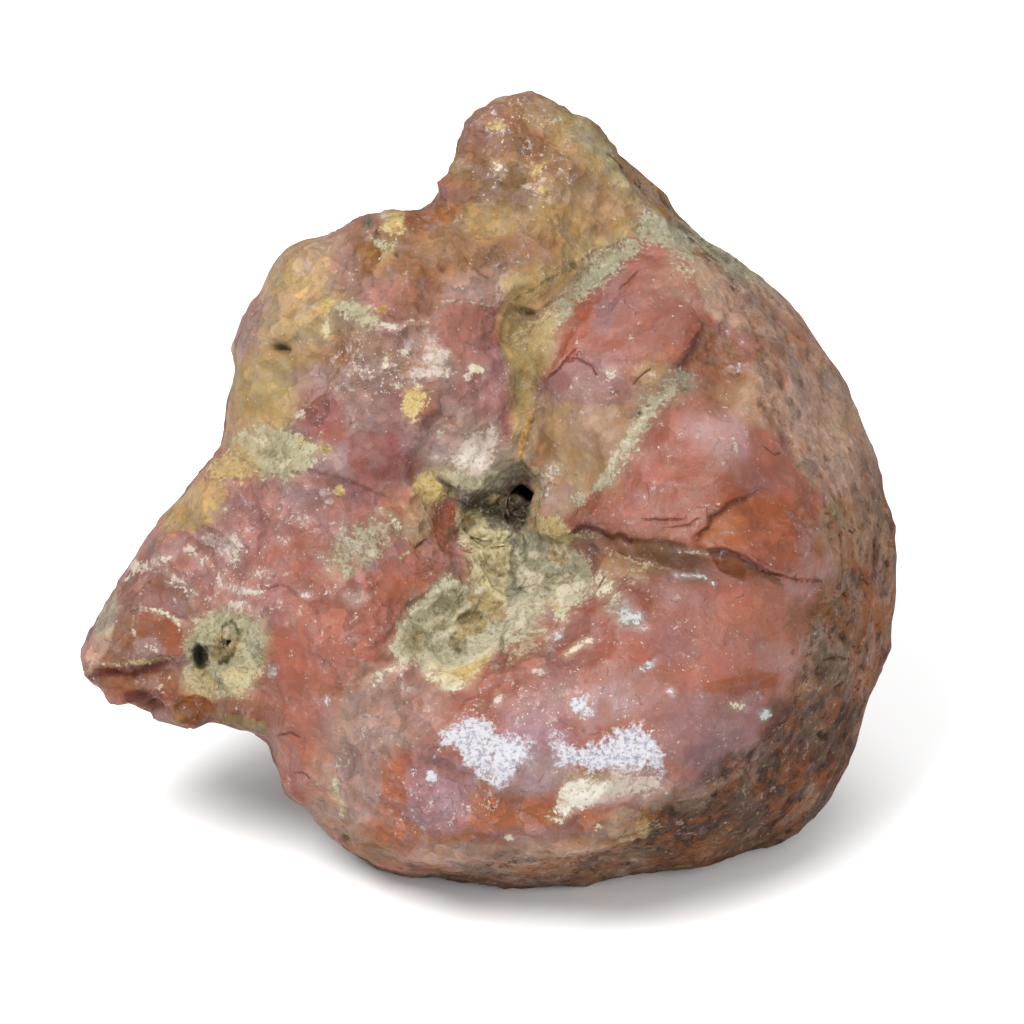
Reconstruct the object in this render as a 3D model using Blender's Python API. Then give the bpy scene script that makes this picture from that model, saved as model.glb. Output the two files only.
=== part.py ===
"""A boulder of red jasper, broken open on one side and rounded by weathering on the others.

Run it with blender --background --python part.py, or from Blender's text editor.

The stone is first shaped face on. There u runs to the right, v up the broken face and w
out of it, towards the viewer, all in millimetres. Its u and v are those seen from VIEWED_FROM
away, and are taken back to true ones before use. The stone is then leaned back to the way it
lies, cut flat where it rests, and turned into metres with +Z up and the origin below the
middle of its box.
"""

import math

import bmesh
import bpy
import numpy as np
from mathutils import Matrix, Vector, noise
from mathutils.geometry import delaunay_2d_cdt

MM = 0.001

VIEWED_FROM = 1800.0            # distance at which u and v below hold as seen, mm

# How the stone lies
LEAN = math.radians(28.0)       # the broken face leans back from upright by this much
REST_LEVEL = -77.2              # height of the resting face below the face's centre, mm

# Thickness
BACK_DEPTH = 74.0               # from the rim's plane to the back of the nodule, mm
SPHERE_DETAIL = 7               # icosphere subdivisions before the shape is thinned
EVENING_PASSES = 3              # light smoothings that take the sphere's grid out of steep walls
KEPT_SHARE = 0.102              # share of those faces that the finished stone keeps

# The rim as seen face on, anticlockwise from the right, (u, v)
OUTLINE = [
    (94.5, -1.2), (93.8, 6.0), (91.6, 11.8), (90.2, 20.8), (88.0, 25.5), (85.2, 30.6),
    (80.6, 39.8), (72.2, 51.2), (62.2, 63.0), (45.7, 74.6), (39.0, 81.6), (32.4, 90.4),
    (25.2, 96.6), (17.7, 102.4), (10.8, 105.5), (3.2, 108.9), (-3.2, 110.0), (-8.1, 107.7),
    (-14.0, 102.9), (-16.2, 98.2), (-17.6, 92.5), (-20.3, 88.9), (-22.0, 83.5),
    (-32.8, 82.5), (-42.6, 79.4), (-45.6, 76.1), (-56.6, 72.7), (-58.6, 70.9),
    (-64.0, 63.0), (-69.4, 56.8), (-72.1, 48.5), (-71.3, 40.5), (-73.1, 25.9),
    (-74.3, 20.7), (-79.3, 16.4), (-84.0, 9.9), (-94.7, -4.9), (-107.0, -20.4),
    (-111.0, -27.0), (-111.7, -30.9), (-110.5, -34.7), (-106.4, -38.0), (-100.2, -41.2),
    (-95.0, -41.4), (-90.4, -39.2), (-87.4, -45.8), (-81.5, -46.6), (-76.8, -44.9),
    (-64.0, -48.9), (-61.6, -59.3), (-58.8, -66.6), (-52.6, -67.0), (-50.4, -71.0),
    (-41.4, -77.7), (-28.9, -84.3), (-11.1, -86.1), (1.2, -87.2), (14.0, -86.2),
    (22.3, -84.2), (27.4, -83.0), (40.0, -82.0), (46.6, -81.9), (63.1, -76.6),
    (71.7, -70.5), (79.0, -62.0), (87.2, -44.6), (91.4, -31.2), (94.2, -14.1),
]

# Round the rim, by direction in degrees anticlockwise from the right: how deep the
# outermost edge lies, how high the face is just inside it, and how wide its rounding is
RIM = [
    (-165, -7, 4, 7), (-150, -5, 12, 7), (-138, -3, 22, 9), (-118, -2, 22, 14),
    (-90, -3, 26, 17), (-65, -10, 14, 22), (-40, -20, 6, 26), (-10, -26, 4, 26),
    (15, -26, 2, 24), (40, -24, -4, 20), (60, -16, -4, 14), (80, -8, 0, 10),
    (100, -5, 6, 7), (125, -5, 10, 6), (150, -5, 12, 7), (175, -6, 12, 7),
]

# The broken face's creases and crests, each a line of (u, v, w) that the surface keeps to
FACE_LINES = {
    "seam from the saddle down to the vug": [
        (30, 74, 9), (17, 66, 11), (3, 57, 10), (0, 49, 12), (1, 35, 13), (1, 22, 11), (0, 14, 6),
    ],
    "right lip of the seam": [
        (36, 70, 12), (23, 61, 18), (13, 51, 22), (8, 39, 24), (7, 25, 25), (8, 10, 21),
    ],
    "left lip of the seam": [(12, 70, 13), (-4, 61, 18), (-6, 49, 22), (-5, 35, 22), (-5, 24, 20)],
    "right block, upper flake": [(45, 60, 21), (31, 49, 29), (45, 46, 29), (44, 36, 32)],
    "right block, step beside the flake": [(60, 54, 12), (52, 48, 20), (48, 39, 26)],
    "right block, smooth panel": [(17, 36, 29), (22, 24, 33), (24, 12, 35)],
    "right block, vein hollow": [(38, 36, 30), (30, 24, 34), (21, 10, 33)],
    "right block, crest": [(60, 36, 27), (55, 26, 37), (50, 17, 43), (44, 8, 46)],
    "right block, shoulder": [(76, 30, 9), (73, 14, 25), (69, 1, 36)],
    "ledge lip": [
        (13, 1, 27), (17.5, 3, 33), (25, 1, 39), (30, -1, 42), (36, -1.5, 45), (42.5, -2, 48),
        (47, -2, 50), (54, -4, 50), (62, -8, 47), (67, -9.5, 43), (76, -10.5, 30),
    ],
    "ledge foot": [
        (19, -1, 27), (25, -4, 31), (33, -7, 35), (40, -9, 37), (48, -10, 38), (56, -11, 39),
        (64, -13.5, 37), (72, -15, 30),
    ],
    "lower block, upper slope": [
        (13, -10, 29), (24, -14, 35), (36, -18, 40), (53, -24, 42), (70, -26, 33),
    ],
    "lower block, shelf above the crest": [
        (-6, -38, 46), (10, -28, 42), (22, -38, 49), (45, -42, 49), (64, -42, 36),
    ],
    "lower block, crest": [
        (-42, -60, 31), (-34, -52, 41), (-19, -55, 49), (-2, -57, 53), (12, -56, 55), (34, -57, 51),
        (56, -52, 38),
    ],
    "lower block, brow above the rind": [
        (-40, -72, 25), (-22, -70, 42), (5, -70, 47), (29, -68, 43), (48, -63, 33), (70, -50, 17),
    ],
    "vug, roof": [(-22, 15, 22), (-13, 17, 23), (-6, 17, 19)],
    "vug, rim on the left": [(-23, 12, 19), (-21, 6, 20), (-15, -3, 20), (-12, -9, 22)],
    "vug, floor": [(-12, 9, 8), (-5, 4, 4), (-3, -3, 9), (-5, -10, 15), (-13, -18, 21), (-22, -25, 27)],
    "vug, rim on the right": [(6, -5, 17), (12, -9, 24), (7, -20, 33), (-2, -28, 38), (-13, -32, 37)],
    "vug, rim at its lower left": [(-16, -12, 28), (-27, -20, 33), (-32, -27, 36), (-23, -32, 37)],
    "left wing, crest": [(-25, 3, 25), (-33, -4, 34), (-42, -12, 38), (-50, -25, 36), (-52, -40, 32)],
    "left wing, inner edge of the crest": [(-27, -13, 34), (-38, -30, 39), (-42, -45, 38)],
    "left wing, upper slope": [(-42, 8, 33), (-55, 14, 27), (-66, 2, 25), (-74, -14, 20), (-90, -14, 12)],
    "left wing, tip": [(-62, -22, 29), (-76, -30, 14), (-98, -28, 10)],
    "left wing, brow underneath": [(-62, -40, 22), (-76, -40, 12), (-88, -35, 7), (-100, -34, 4)],
    "upper left, inner slope": [(-12, 26, 25), (-16, 44, 28), (-10, 60, 23), (-6, 75, 18)],
    "upper left, crest": [(-30, 28, 29), (-34, 48, 30), (-27, 66, 25), (-24, 76, 18)],
    "upper left, outer slope": [(-48, 34, 26), (-62, 34, 18), (-57, 56, 17), (-44, 68, 17)],
    "top peak": [(-9, 97, 9), (4, 97, 11), (12, 84, 13), (22, 84, 7)],
}
CREASE_SOFTNESS = 1.7           # creases are rounded over about this radius, mm
BROW_REACH = 1.04               # the face's outer ring, as a multiple of the outline

# Old breaks across the weathered back: (direction they face in degrees anticlockwise from
# the right, how far they turn towards the very back in degrees, distance from the centre)
BACK_BREAKS = [
    (150, 60, 64.0), (75, 52, 72.0), (20, 64, 70.0), (-35, 48, 82.0), (215, 44, 74.0),
    (110, 80, 67.0),
]
BREAK_SOFTNESS = 3.5            # weathering has rounded their edges over about this much, mm
LEAST_BACK = 0.45               # a break leaves at least this share of the back's depth

# Rolling lumps left by weathering, as (size, height) in mm, on the rind and on the face
RIND_LUMPS = [(34.0, 3.0), (14.0, 1.1), (6.5, 0.45)]
FACE_LUMPS = [(22.0, 0.7), (9.0, 0.3)]
LUMP_SEED = Vector((3.7, 11.2, 5.9))

# Shallow flake scars that meet in ridges, as (size, depth) in mm. The left of the face broke
# hackly and the right of it smooth, with the change between these two places in u
FLAKES = [(21.0, 3.6), (8.5, 1.1)]
HACKLY_UNTIL, SMOOTH_FROM = 0.0, 26.0
SMOOTH_SHARE = 0.22             # share of the scars' depth on the smooth side

# Hollows in the face, (name, u, v, w, half width, half height, half depth, turn in degrees)
HOLLOWS = [
    ("vug_throat", 0.6, 9.6, 0.0, 4.2, 5.8, 15.0, -12),
    ("vug_pocket", -10.0, 5.0, 9.0, 7.0, 4.6, 7.5, 12),
    ("wing_hole", -79.8, -29.3, 8.0, 2.5, 4.8, 9.0, 8),
    ("wing_pocket", -72.4, -26.0, 15.0, 4.2, 3.2, 8.0, 30),
    ("rim_hole", -59.2, 47.8, 17.0, 2.4, 1.5, 4.5, 14),
    ("seam_hole", 1.4, 55.8, 11.0, 3.4, 1.7, 8.0, 28),
    ("seam_slit", 0.4, 27.0, 13.0, 1.3, 5.4, 8.0, -9),
    ("brow_hole", -35.2, 76.2, 13.0, 1.9, 1.4, 4.0, -30),
]
HOLLOW_DETAIL = 2
HOLLOW_ROUGHNESS = 0.16         # how far a hollow's wall wanders, as a share of its size

STONE_COLOUR = (0.36, 0.12, 0.08, 1.0)
STONE_ROUGHNESS = 0.55


def clear_scene():
    for obj in list(bpy.data.objects):
        bpy.data.objects.remove(obj)


def new_collection(name):
    collection = bpy.data.collections.new(name)
    bpy.context.scene.collection.children.link(collection)
    return collection


def outline_polar():
    """The outline as (direction, distance) from the face's centre, in order of direction."""
    points = np.array(OUTLINE)
    direction = np.arctan2(points[:, 1], points[:, 0])
    order = np.argsort(direction)
    return direction[order], np.hypot(points[:, 0], points[:, 1])[order]


def rim_value(direction, column):
    """One column of RIM, read smoothly round the rim."""
    rows = np.array(RIM, float)
    turned = np.radians(rows[:, 0])
    here = np.interp(direction, turned, rows[:, column], period=2 * math.pi)
    before = np.interp(direction - 0.12, turned, rows[:, column], period=2 * math.pi)
    after = np.interp(direction + 0.12, turned, rows[:, column], period=2 * math.pi)
    return (before + 2 * here + after) / 4


def true_place(u, v, w):
    """A place seen at (u, v) from VIEWED_FROM away, where it really is for its height w."""
    shown = 1 - w / VIEWED_FROM
    return (u * shown, v * shown, w)


def face_network():
    """The face's lines joined by triangles, as (points, triangles). Its outer ring is the brow."""
    points, edges = [], []
    for line in FACE_LINES.values():
        first = len(points)
        points += [true_place(*place) for place in line]
        edges += [(first + i, first + i + 1) for i in range(len(line) - 1)]
    for u, v in OUTLINE:
        brow = float(rim_value(math.atan2(v, u), 2))
        points.append((u * BROW_REACH, v * BROW_REACH, brow))
    flat = [Vector(p[:2]) for p in points]
    places, _, triangles, origins, _, _ = delaunay_2d_cdt(flat, edges, [], 0, 1e-4)
    heights = [np.mean([points[i][2] for i in came]) if came else None for came in origins]
    known = [i for i, height in enumerate(heights) if height is not None]
    for i, height in enumerate(heights):
        if height is None:
            nearest = min(known, key=lambda k, i=i: (places[k] - places[i]).length)
            heights[i] = heights[nearest]
    network = np.array([(p.x, p.y, h) for p, h in zip(places, heights)])
    return network, np.array(triangles)


def network_height(u, v, network, triangles):
    """Height of the triangle network at each (u, v), and the lowest brow outside it."""
    height = np.full(len(u), np.nan)
    for a, b, c in network[triangles]:
        span = (b[0] - a[0]) * (c[1] - a[1]) - (c[0] - a[0]) * (b[1] - a[1])
        if abs(span) < 1e-9:
            continue
        to_b = ((u - a[0]) * (c[1] - a[1]) - (c[0] - a[0]) * (v - a[1])) / span
        to_c = ((b[0] - a[0]) * (v - a[1]) - (u - a[0]) * (b[1] - a[1])) / span
        inside = (to_b >= -1e-6) & (to_c >= -1e-6) & (to_b + to_c <= 1 + 1e-6)
        plane = a[2] + to_b * (b[2] - a[2]) + to_c * (c[2] - a[2])
        height[inside] = plane[inside]
    outside = np.isnan(height)
    height[outside] = rim_value(np.arctan2(v[outside], u[outside]), 2)
    return height


def face_height(u, v):
    """Height of the broken face, its creases softened by averaging over a small ring."""
    network, triangles = face_network()
    total = 2 * network_height(u, v, network, triangles)
    for step, turn in enumerate(np.radians(np.arange(0, 360, 45))):
        radius = CREASE_SOFTNESS * (1 if step % 2 else 0.55)
        du, dv = radius * math.cos(turn), radius * math.sin(turn)
        total += network_height(u + du, v + dv, network, triangles)
    return total / 10


def back_height(u, v, share, rim):
    """Height of the weathered back: a dome behind the rim, cut by the old breaks."""
    depth = (BACK_DEPTH + rim) * (1 - share**2.3) ** (1 / 2.3)
    height = rim - depth
    for faces, turns, distance in BACK_BREAKS:
        across, back = math.cos(math.radians(turns)), math.sin(math.radians(turns))
        reach = u * math.cos(math.radians(faces)) + v * math.sin(math.radians(faces))
        cut = (reach * across - distance) / back
        height = BREAK_SOFTNESS * np.logaddexp(height / BREAK_SOFTNESS, cut / BREAK_SOFTNESS)
    return np.minimum(height, rim - LEAST_BACK * depth)


def shape_points(directions):
    """The stone's place for each point of a unit sphere, and how far it belongs to the rind."""
    direction = np.arctan2(directions[:, 1], directions[:, 0])
    share = np.minimum(np.hypot(directions[:, 0], directions[:, 1]), 1.0)
    turns, distances = outline_polar()
    rim, rounding = rim_value(direction, 1), rim_value(direction, 3)
    reach = np.interp(direction, turns, distances, period=2 * math.pi) * (1 - rim / VIEWED_FROM)
    u = reach * share * np.cos(direction)
    v = reach * share * np.sin(direction)
    inward = np.clip(reach * (1 - share) / rounding, 0, 1)
    front = rim + (face_height(u, v) - rim) * np.sqrt(1 - (1 - inward) ** 2)
    on_face = directions[:, 2] >= 0
    height = np.where(on_face, front, back_height(u, v, share, rim))
    return np.column_stack([u, v, height]), np.where(on_face, 1 - inward, 1.0)


def lump_height(point, lumps):
    return sum(
        height * noise.noise(point / size + LUMP_SEED * (layer + 1))
        for layer, (size, height) in enumerate(lumps)
    )


def flake_height(point):
    """Height of the flake scars: lowest in the middle of each, highest where two meet."""
    hackly = min(max((SMOOTH_FROM - point.x) / (SMOOTH_FROM - HACKLY_UNTIL), 0.0), 1.0)
    share = SMOOTH_SHARE + (1 - SMOOTH_SHARE) * hackly
    scars = sum(depth * (noise.voronoi(point / size)[0][0] ** 2 - 0.25) for size, depth in FLAKES)
    return scars * share


def weather(bm, rind_shares):
    """Moves the surface in and out: by lumps on the rind, by scars and slight lumps on the face."""
    bm.normal_update()
    moves = []
    for vert, rind in zip(bm.verts, rind_shares):
        broken = lump_height(vert.co, FACE_LUMPS) + flake_height(vert.co)
        moves.append(vert.normal * (lump_height(vert.co, RIND_LUMPS) * rind + broken * (1 - rind)))
    for vert, move in zip(bm.verts, moves):
        vert.co += move


def lean_back():
    """Face-on millimetres to metres as the stone lies: the face leans back by LEAN."""
    across = Vector((1, 0, 0))
    up_face = Vector((0, math.sin(LEAN), math.cos(LEAN)))
    out_of_face = Vector((0, -math.cos(LEAN), math.sin(LEAN)))
    turn = Matrix((across, up_face, out_of_face)).transposed().to_4x4()
    return Matrix.Scale(MM, 4) @ Matrix.Translation((0, 0, -REST_LEVEL)) @ turn


def stone_material():
    material = bpy.data.materials.new("red_jasper")
    material.use_nodes = True
    shader = material.node_tree.nodes["Principled BSDF"]
    shader.inputs["Base Color"].default_value = STONE_COLOUR
    shader.inputs["Roughness"].default_value = STONE_ROUGHNESS
    shader.inputs["Metallic"].default_value = 0.0
    return material


def object_from(bm, name, collection):
    mesh = bpy.data.meshes.new(name)
    bm.to_mesh(mesh)
    bm.free()
    obj = bpy.data.objects.new(name, mesh)
    collection.objects.link(obj)
    return obj


def hollow_cutter(name, place, half_sizes, turn, collection):
    """One hollow's cutter: a rough ellipsoid standing in the face."""
    bm = bmesh.new()
    bmesh.ops.create_icosphere(bm, subdivisions=HOLLOW_DETAIL, radius=1.0)
    for vert in bm.verts:
        vert.co *= 1 + HOLLOW_ROUGHNESS * noise.noise(vert.co * 2.3 + Vector(place))
    sized = Matrix.Diagonal((*half_sizes, 1.0))
    turned = Matrix.Rotation(math.radians(turn), 4, "Z")
    bm.transform(lean_back() @ Matrix.Translation(place) @ turned @ sized)
    cutter = object_from(bm, name, collection)
    cutter.hide_render = True
    cutter.display_type = "WIRE"


def resting_cutter(collection):
    """A slab whose top is the level that the stone rests on."""
    bm = bmesh.new()
    bmesh.ops.create_cube(bm, size=1.0)
    bm.transform(Matrix.Translation((0, 0, -0.05)) @ Matrix.Diagonal((0.4, 0.4, 0.1, 1.0)))
    slab = object_from(bm, "resting_slab", collection)
    slab.hide_render = True
    slab.display_type = "WIRE"
    return slab


def build_stone(parts, hollows, slab):
    bm = bmesh.new()
    bmesh.ops.create_icosphere(bm, subdivisions=SPHERE_DETAIL, radius=1.0)
    places, rind_shares = shape_points(np.array([vert.co for vert in bm.verts]))
    for vert, place in zip(bm.verts, places):
        vert.co = place
    for _ in range(EVENING_PASSES):
        bmesh.ops.smooth_vert(
            bm, verts=bm.verts, factor=0.5, use_axis_x=True, use_axis_y=True, use_axis_z=True
        )
    weather(bm, rind_shares)
    bm.transform(lean_back())
    stone = object_from(bm, "red_jasper", parts)
    stone.data.materials.append(stone_material())

    thin = stone.modifiers.new("thin out the flat stretches", "DECIMATE")
    thin.ratio = KEPT_SHARE
    carve = stone.modifiers.new("hollows", "BOOLEAN")
    carve.operation = "DIFFERENCE"
    carve.operand_type = "COLLECTION"
    carve.collection = hollows
    rest = stone.modifiers.new("resting face", "BOOLEAN")
    rest.operation = "DIFFERENCE"
    rest.object = slab
    return stone


def centre_over_origin(stone):
    """Moves the stone and its cutters along the ground until its box is centred on the origin."""
    bpy.context.view_layer.update()
    finished = stone.evaluated_get(bpy.context.evaluated_depsgraph_get())
    places = np.array([vert.co for vert in finished.data.vertices])
    middle = (places.min(axis=0) + places.max(axis=0)) / 2
    shift = Matrix.Translation((-middle[0], -middle[1], 0))
    for obj in bpy.data.objects:
        obj.data.transform(shift)
        obj.data.update()


def main():
    clear_scene()
    parts = new_collection("red_jasper_boulder")
    hollows = new_collection("hollow_cutters")
    for name, u, v, w, half_width, half_height, half_depth, turn in HOLLOWS:
        place = true_place(u, v, w)
        hollow_cutter(name, place, (half_width, half_height, half_depth), turn, hollows)
    slab = resting_cutter(new_collection("resting_cutters"))
    centre_over_origin(build_stone(parts, hollows, slab))


main()
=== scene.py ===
"""The looks of a red jasper boulder, broken open on one side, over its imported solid.

The broken face was mapped from straight in front. Places on it, and the widths of ovals and
lines, are in pixels of that 1024 x 1024 view, four to the millimetre. Heights and depths are in
millimetres, and an oval's turn is in degrees clockwise.
"""
import math

import bmesh
import bpy
import numpy as np
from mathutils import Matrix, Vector


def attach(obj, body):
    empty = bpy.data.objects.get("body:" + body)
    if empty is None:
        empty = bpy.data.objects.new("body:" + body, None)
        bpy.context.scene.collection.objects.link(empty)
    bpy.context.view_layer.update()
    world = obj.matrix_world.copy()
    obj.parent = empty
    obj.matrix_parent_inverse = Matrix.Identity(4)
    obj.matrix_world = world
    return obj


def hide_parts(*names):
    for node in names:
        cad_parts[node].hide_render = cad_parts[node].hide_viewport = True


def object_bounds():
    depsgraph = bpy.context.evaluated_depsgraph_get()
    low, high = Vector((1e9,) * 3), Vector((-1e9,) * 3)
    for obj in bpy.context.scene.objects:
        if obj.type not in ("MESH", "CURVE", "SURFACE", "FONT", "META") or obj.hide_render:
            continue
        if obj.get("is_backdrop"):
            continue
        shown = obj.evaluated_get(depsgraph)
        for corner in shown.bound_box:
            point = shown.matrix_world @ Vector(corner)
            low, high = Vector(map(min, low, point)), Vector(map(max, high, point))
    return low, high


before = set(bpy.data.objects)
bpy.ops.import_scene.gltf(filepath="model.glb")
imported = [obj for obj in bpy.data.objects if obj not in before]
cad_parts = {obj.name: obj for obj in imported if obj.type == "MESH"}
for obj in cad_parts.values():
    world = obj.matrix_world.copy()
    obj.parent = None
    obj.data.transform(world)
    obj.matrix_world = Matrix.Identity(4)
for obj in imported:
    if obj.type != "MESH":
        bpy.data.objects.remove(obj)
cad_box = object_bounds()


# The viewer stands in front of the broken face, which leans back. The same view places
# every mark on the face, so it comes first.
MM = 0.001
VIEW_PIXELS = 1024
VIEW_WIDTH = 256.0 * MM                     # width seen at the face's centre
VIEW_DISTANCE = 1.8
FACE_LEAN = math.radians(28.0)
FACE_CENTRE = np.array((0.00714, 0.00092, 0.0772))
AIM_OFFSET = (-2.0 * MM, 7.0 * MM)          # the view's middle, right of and above that centre
SENSOR_WIDTH = 36.0
PIXELS_PER_MM = VIEW_PIXELS * MM / VIEW_WIDTH

ACROSS = np.array((1.0, 0.0, 0.0))
UP_FACE = np.array((0.0, math.sin(FACE_LEAN), math.cos(FACE_LEAN)))
TO_VIEWER = np.array((0.0, -math.cos(FACE_LEAN), math.sin(FACE_LEAN)))
AIM = FACE_CENTRE + AIM_OFFSET[0] * ACROSS + AIM_OFFSET[1] * UP_FACE


def seen_at(places):
    """The pixels (x, y) at which places in metres are seen."""
    offset = places - AIM
    nearer = 1 - offset @ TO_VIEWER / VIEW_DISTANCE
    scale = VIEW_PIXELS / VIEW_WIDTH / nearer
    middle = VIEW_PIXELS / 2
    return middle + offset @ ACROSS * scale, middle - offset @ UP_FACE * scale


camera_data = bpy.data.cameras.new("view of the broken face")
camera_data.sensor_width = SENSOR_WIDTH
camera_data.lens = SENSOR_WIDTH * VIEW_DISTANCE / VIEW_WIDTH
camera_data.clip_end = 10.0
camera = bpy.data.objects.new("camera", camera_data)
camera.location = AIM + TO_VIEWER * VIEW_DISTANCE
camera.rotation_euler = Vector(-TO_VIEWER).to_track_quat("-Z", "Y").to_euler()
bpy.context.scene.collection.objects.link(camera)
bpy.context.scene.camera = camera


# The stone is one nodule of jasper. Its mesh starts as a copy of the solid, is made even and
# fine where the broken face shows, and then gets the relief that weathering and breaking left.
EVEN_SPACING = 2.14 * MM        # mesh spacing all over, halved on the face and again at its lines
EVENING_ROUNDS = 4              # smoothings that take the solid's flat triangles out
FACE_FROM = 0.12                # the face is where the surface turns to the viewer by this much
LINE_MARGIN = 1.2               # the mesh is finest within this many mm of a ledge or crack
SHRINK, SWELL = 0.5, -0.53      # how far a smoothing pass moves each place, and the one after it

# The mesh is finest in these ovals too, (x, y, width, height, turn)
FINEST = [
    (480, 570, 130, 200, -20), (515, 500, 66, 90, 0), (222, 652, 80, 84, 0), (560, 585, 90, 90, 0),
]

# Ledges: the stone rises on the left of a line's run and drops on its right, and both die away
# with distance from the line, (line, rise, drop, reach in mm)
LEDGES = [
    ([(568, 534), (583, 526), (593, 527), (612, 536), (620, 532), (629, 539), (660, 541), (690, 546)],
     1.2, 1.9, 3.5),
    ([(690, 547), (706, 550), (728, 549), (745, 556), (768, 571), (786, 577), (824, 580)],
     2.4, 3.6, 4.5),
    ([(688, 541), (697, 533), (708, 527), (709, 517), (721, 511), (730, 501), (755, 494)],
     0.5, 1.5, 4.0),
    ([(600, 546), (612, 549), (640, 560), (660, 567), (676, 571), (700, 576), (718, 581)],
     0.1, -0.9, 3.0),
    ([(680, 366), (691, 352), (698, 338), (706, 316)], 0.6, 2.2, 5.0),
    ([(540, 384), (556, 366), (574, 332), (592, 302), (603, 284)], -0.8, -1.0, 5.0),
    ([(84, 672), (100, 668), (125, 666), (150, 660), (184, 657)], 0.8, 2.4, 3.5),
    ([(282, 768), (296, 776), (306, 800), (330, 812), (345, 838)], 0.3, 1.4, 4.0),
    ([(340, 815), (333, 785), (345, 765), (342, 745), (352, 715), (350, 682), (372, 672)],
     0.3, 0.4, 4.0),
    ([(398, 655), (420, 664), (440, 673), (461, 676), (481, 661), (492, 645)], -0.9, -0.9, 3.0),
    ([(443, 303), (465, 298), (490, 305), (501, 320)], 0.3, 0.6, 3.5),
    ([(232, 452), (262, 470), (290, 480), (315, 468), (350, 482), (395, 500)], 0.3, 0.8, 5.0),
    ([(385, 545), (402, 562), (413, 550), (427, 537), (437, 520)], 0.2, 0.5, 3.0),
    ([(437, 480), (448, 483), (455, 492), (468, 496), (490, 492)], 0.7, 1.6, 2.5),
    ([(700, 355), (718, 361), (735, 374), (745, 372)], 0.2, 0.8, 3.0),
    ([(778, 498), (795, 506), (812, 502)], 0.2, 0.7, 3.0),
    ([(798, 654), (806, 632), (818, 628)], 0.3, 0.9, 3.0),
    ([(720, 690), (745, 684), (770, 676), (800, 654)], 0.1, 0.9, 4.0),
    ([(345, 655), (380, 640), (400, 612), (432, 588)], 0.3, 0.8, 4.0),
    ([(265, 590), (285, 585), (305, 600), (332, 602)], 0.2, 0.7, 3.5),
    ([(120, 612), (140, 606), (165, 616), (182, 630)], 0.2, 0.9, 3.5),
    ([(345, 303), (372, 300), (398, 322), (430, 330)], 0.2, 0.7, 4.0),
    ([(352, 252), (376, 250), (386, 262)], 0.3, 0.9, 3.0),
    ([(430, 205), (452, 228), (470, 262), (500, 285)], 0.2, 0.8, 5.0),
    ([(505, 110), (530, 150), (545, 200), (560, 235)], 0.2, 0.8, 6.0),
    ([(455, 440), (470, 432), (494, 426), (500, 445)], 0.4, 0.6, 3.0),
    ([(300, 640), (330, 660), (345, 700)], 0.2, 0.8, 5.0),
]

# Cracks: narrow grooves, (line, depth in mm)
CRACKS = [
    ([(545, 381), (560, 368), (568, 357), (578, 347)], 0.5),
    ([(565, 362), (577, 358), (590, 365), (598, 376)], 0.25),
    ([(640, 519), (660, 520), (680, 519)], 0.3),
    ([(618, 290), (628, 281), (639, 270)], 0.3),
    ([(598, 589), (603, 580), (606, 573)], 0.4),
    ([(413, 550), (420, 544), (428, 537)], 0.5),
    ([(700, 517), (690, 524), (672, 527)], 0.2),
    ([(276, 736), (290, 733), (302, 738)], 0.4),
    ([(293, 772), (305, 774), (312, 780)], 0.4),
    ([(632, 386), (642, 375), (652, 368)], 0.2),
    ([(605, 152), (615, 160), (624, 170)], 0.3),
    ([(820, 660), (840, 657), (852, 660)], 0.5),
    ([(762, 445), (775, 455), (783, 452)], 0.2),
]
LEDGE_END = 14                  # pixels of a line's run over which its ledge comes in and dies out
CRACK_END = 10                  # the same for a crack
CRACK_REACH = 0.5               # mm from a crack's line to where it has no depth left

# Hollows partly filled with grains, (x, y, width, height, turn, level), the level in mm from the
# face's centre towards the viewer
FILLED = [(508, 511, 40, 42, 0, 4.0), (496, 516, 94, 54, 0, 12.0), (492, 562, 74, 90, 10, 18.0)]
BACK_LEVEL = -30                # below this level nothing is filled, so the back stays as it is

# Lumps standing out, (x, y, width, height, turn, rise in mm)
LUMPS = [
    (192, 711, 40, 30, 0, 2.4), (120, 694, 36, 22, 10, 1.0), (494, 497, 20, 14, 0, 1.4),
    (463, 544, 18, 18, 0, 1.2), (478, 552, 20, 24, 0, 0.8), (498, 556, 18, 26, 0, 0.8),
    (487, 596, 40, 30, -30, 1.2), (534, 551, 30, 20, 0, 0.6), (560, 552, 24, 18, 0, 0.8),
    (520, 644, 46, 26, -25, 0.9), (545, 290, 70, 120, 20, 1.2), (510, 420, 40, 120, 0, 1.0),
    (640, 604, 26, 26, 0, 0.8), (228, 676, 34, 22, 0, 0.9), (246, 660, 20, 24, 0, 0.9),
    (232, 648, 16, 20, 30, 1.2),
]

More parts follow.
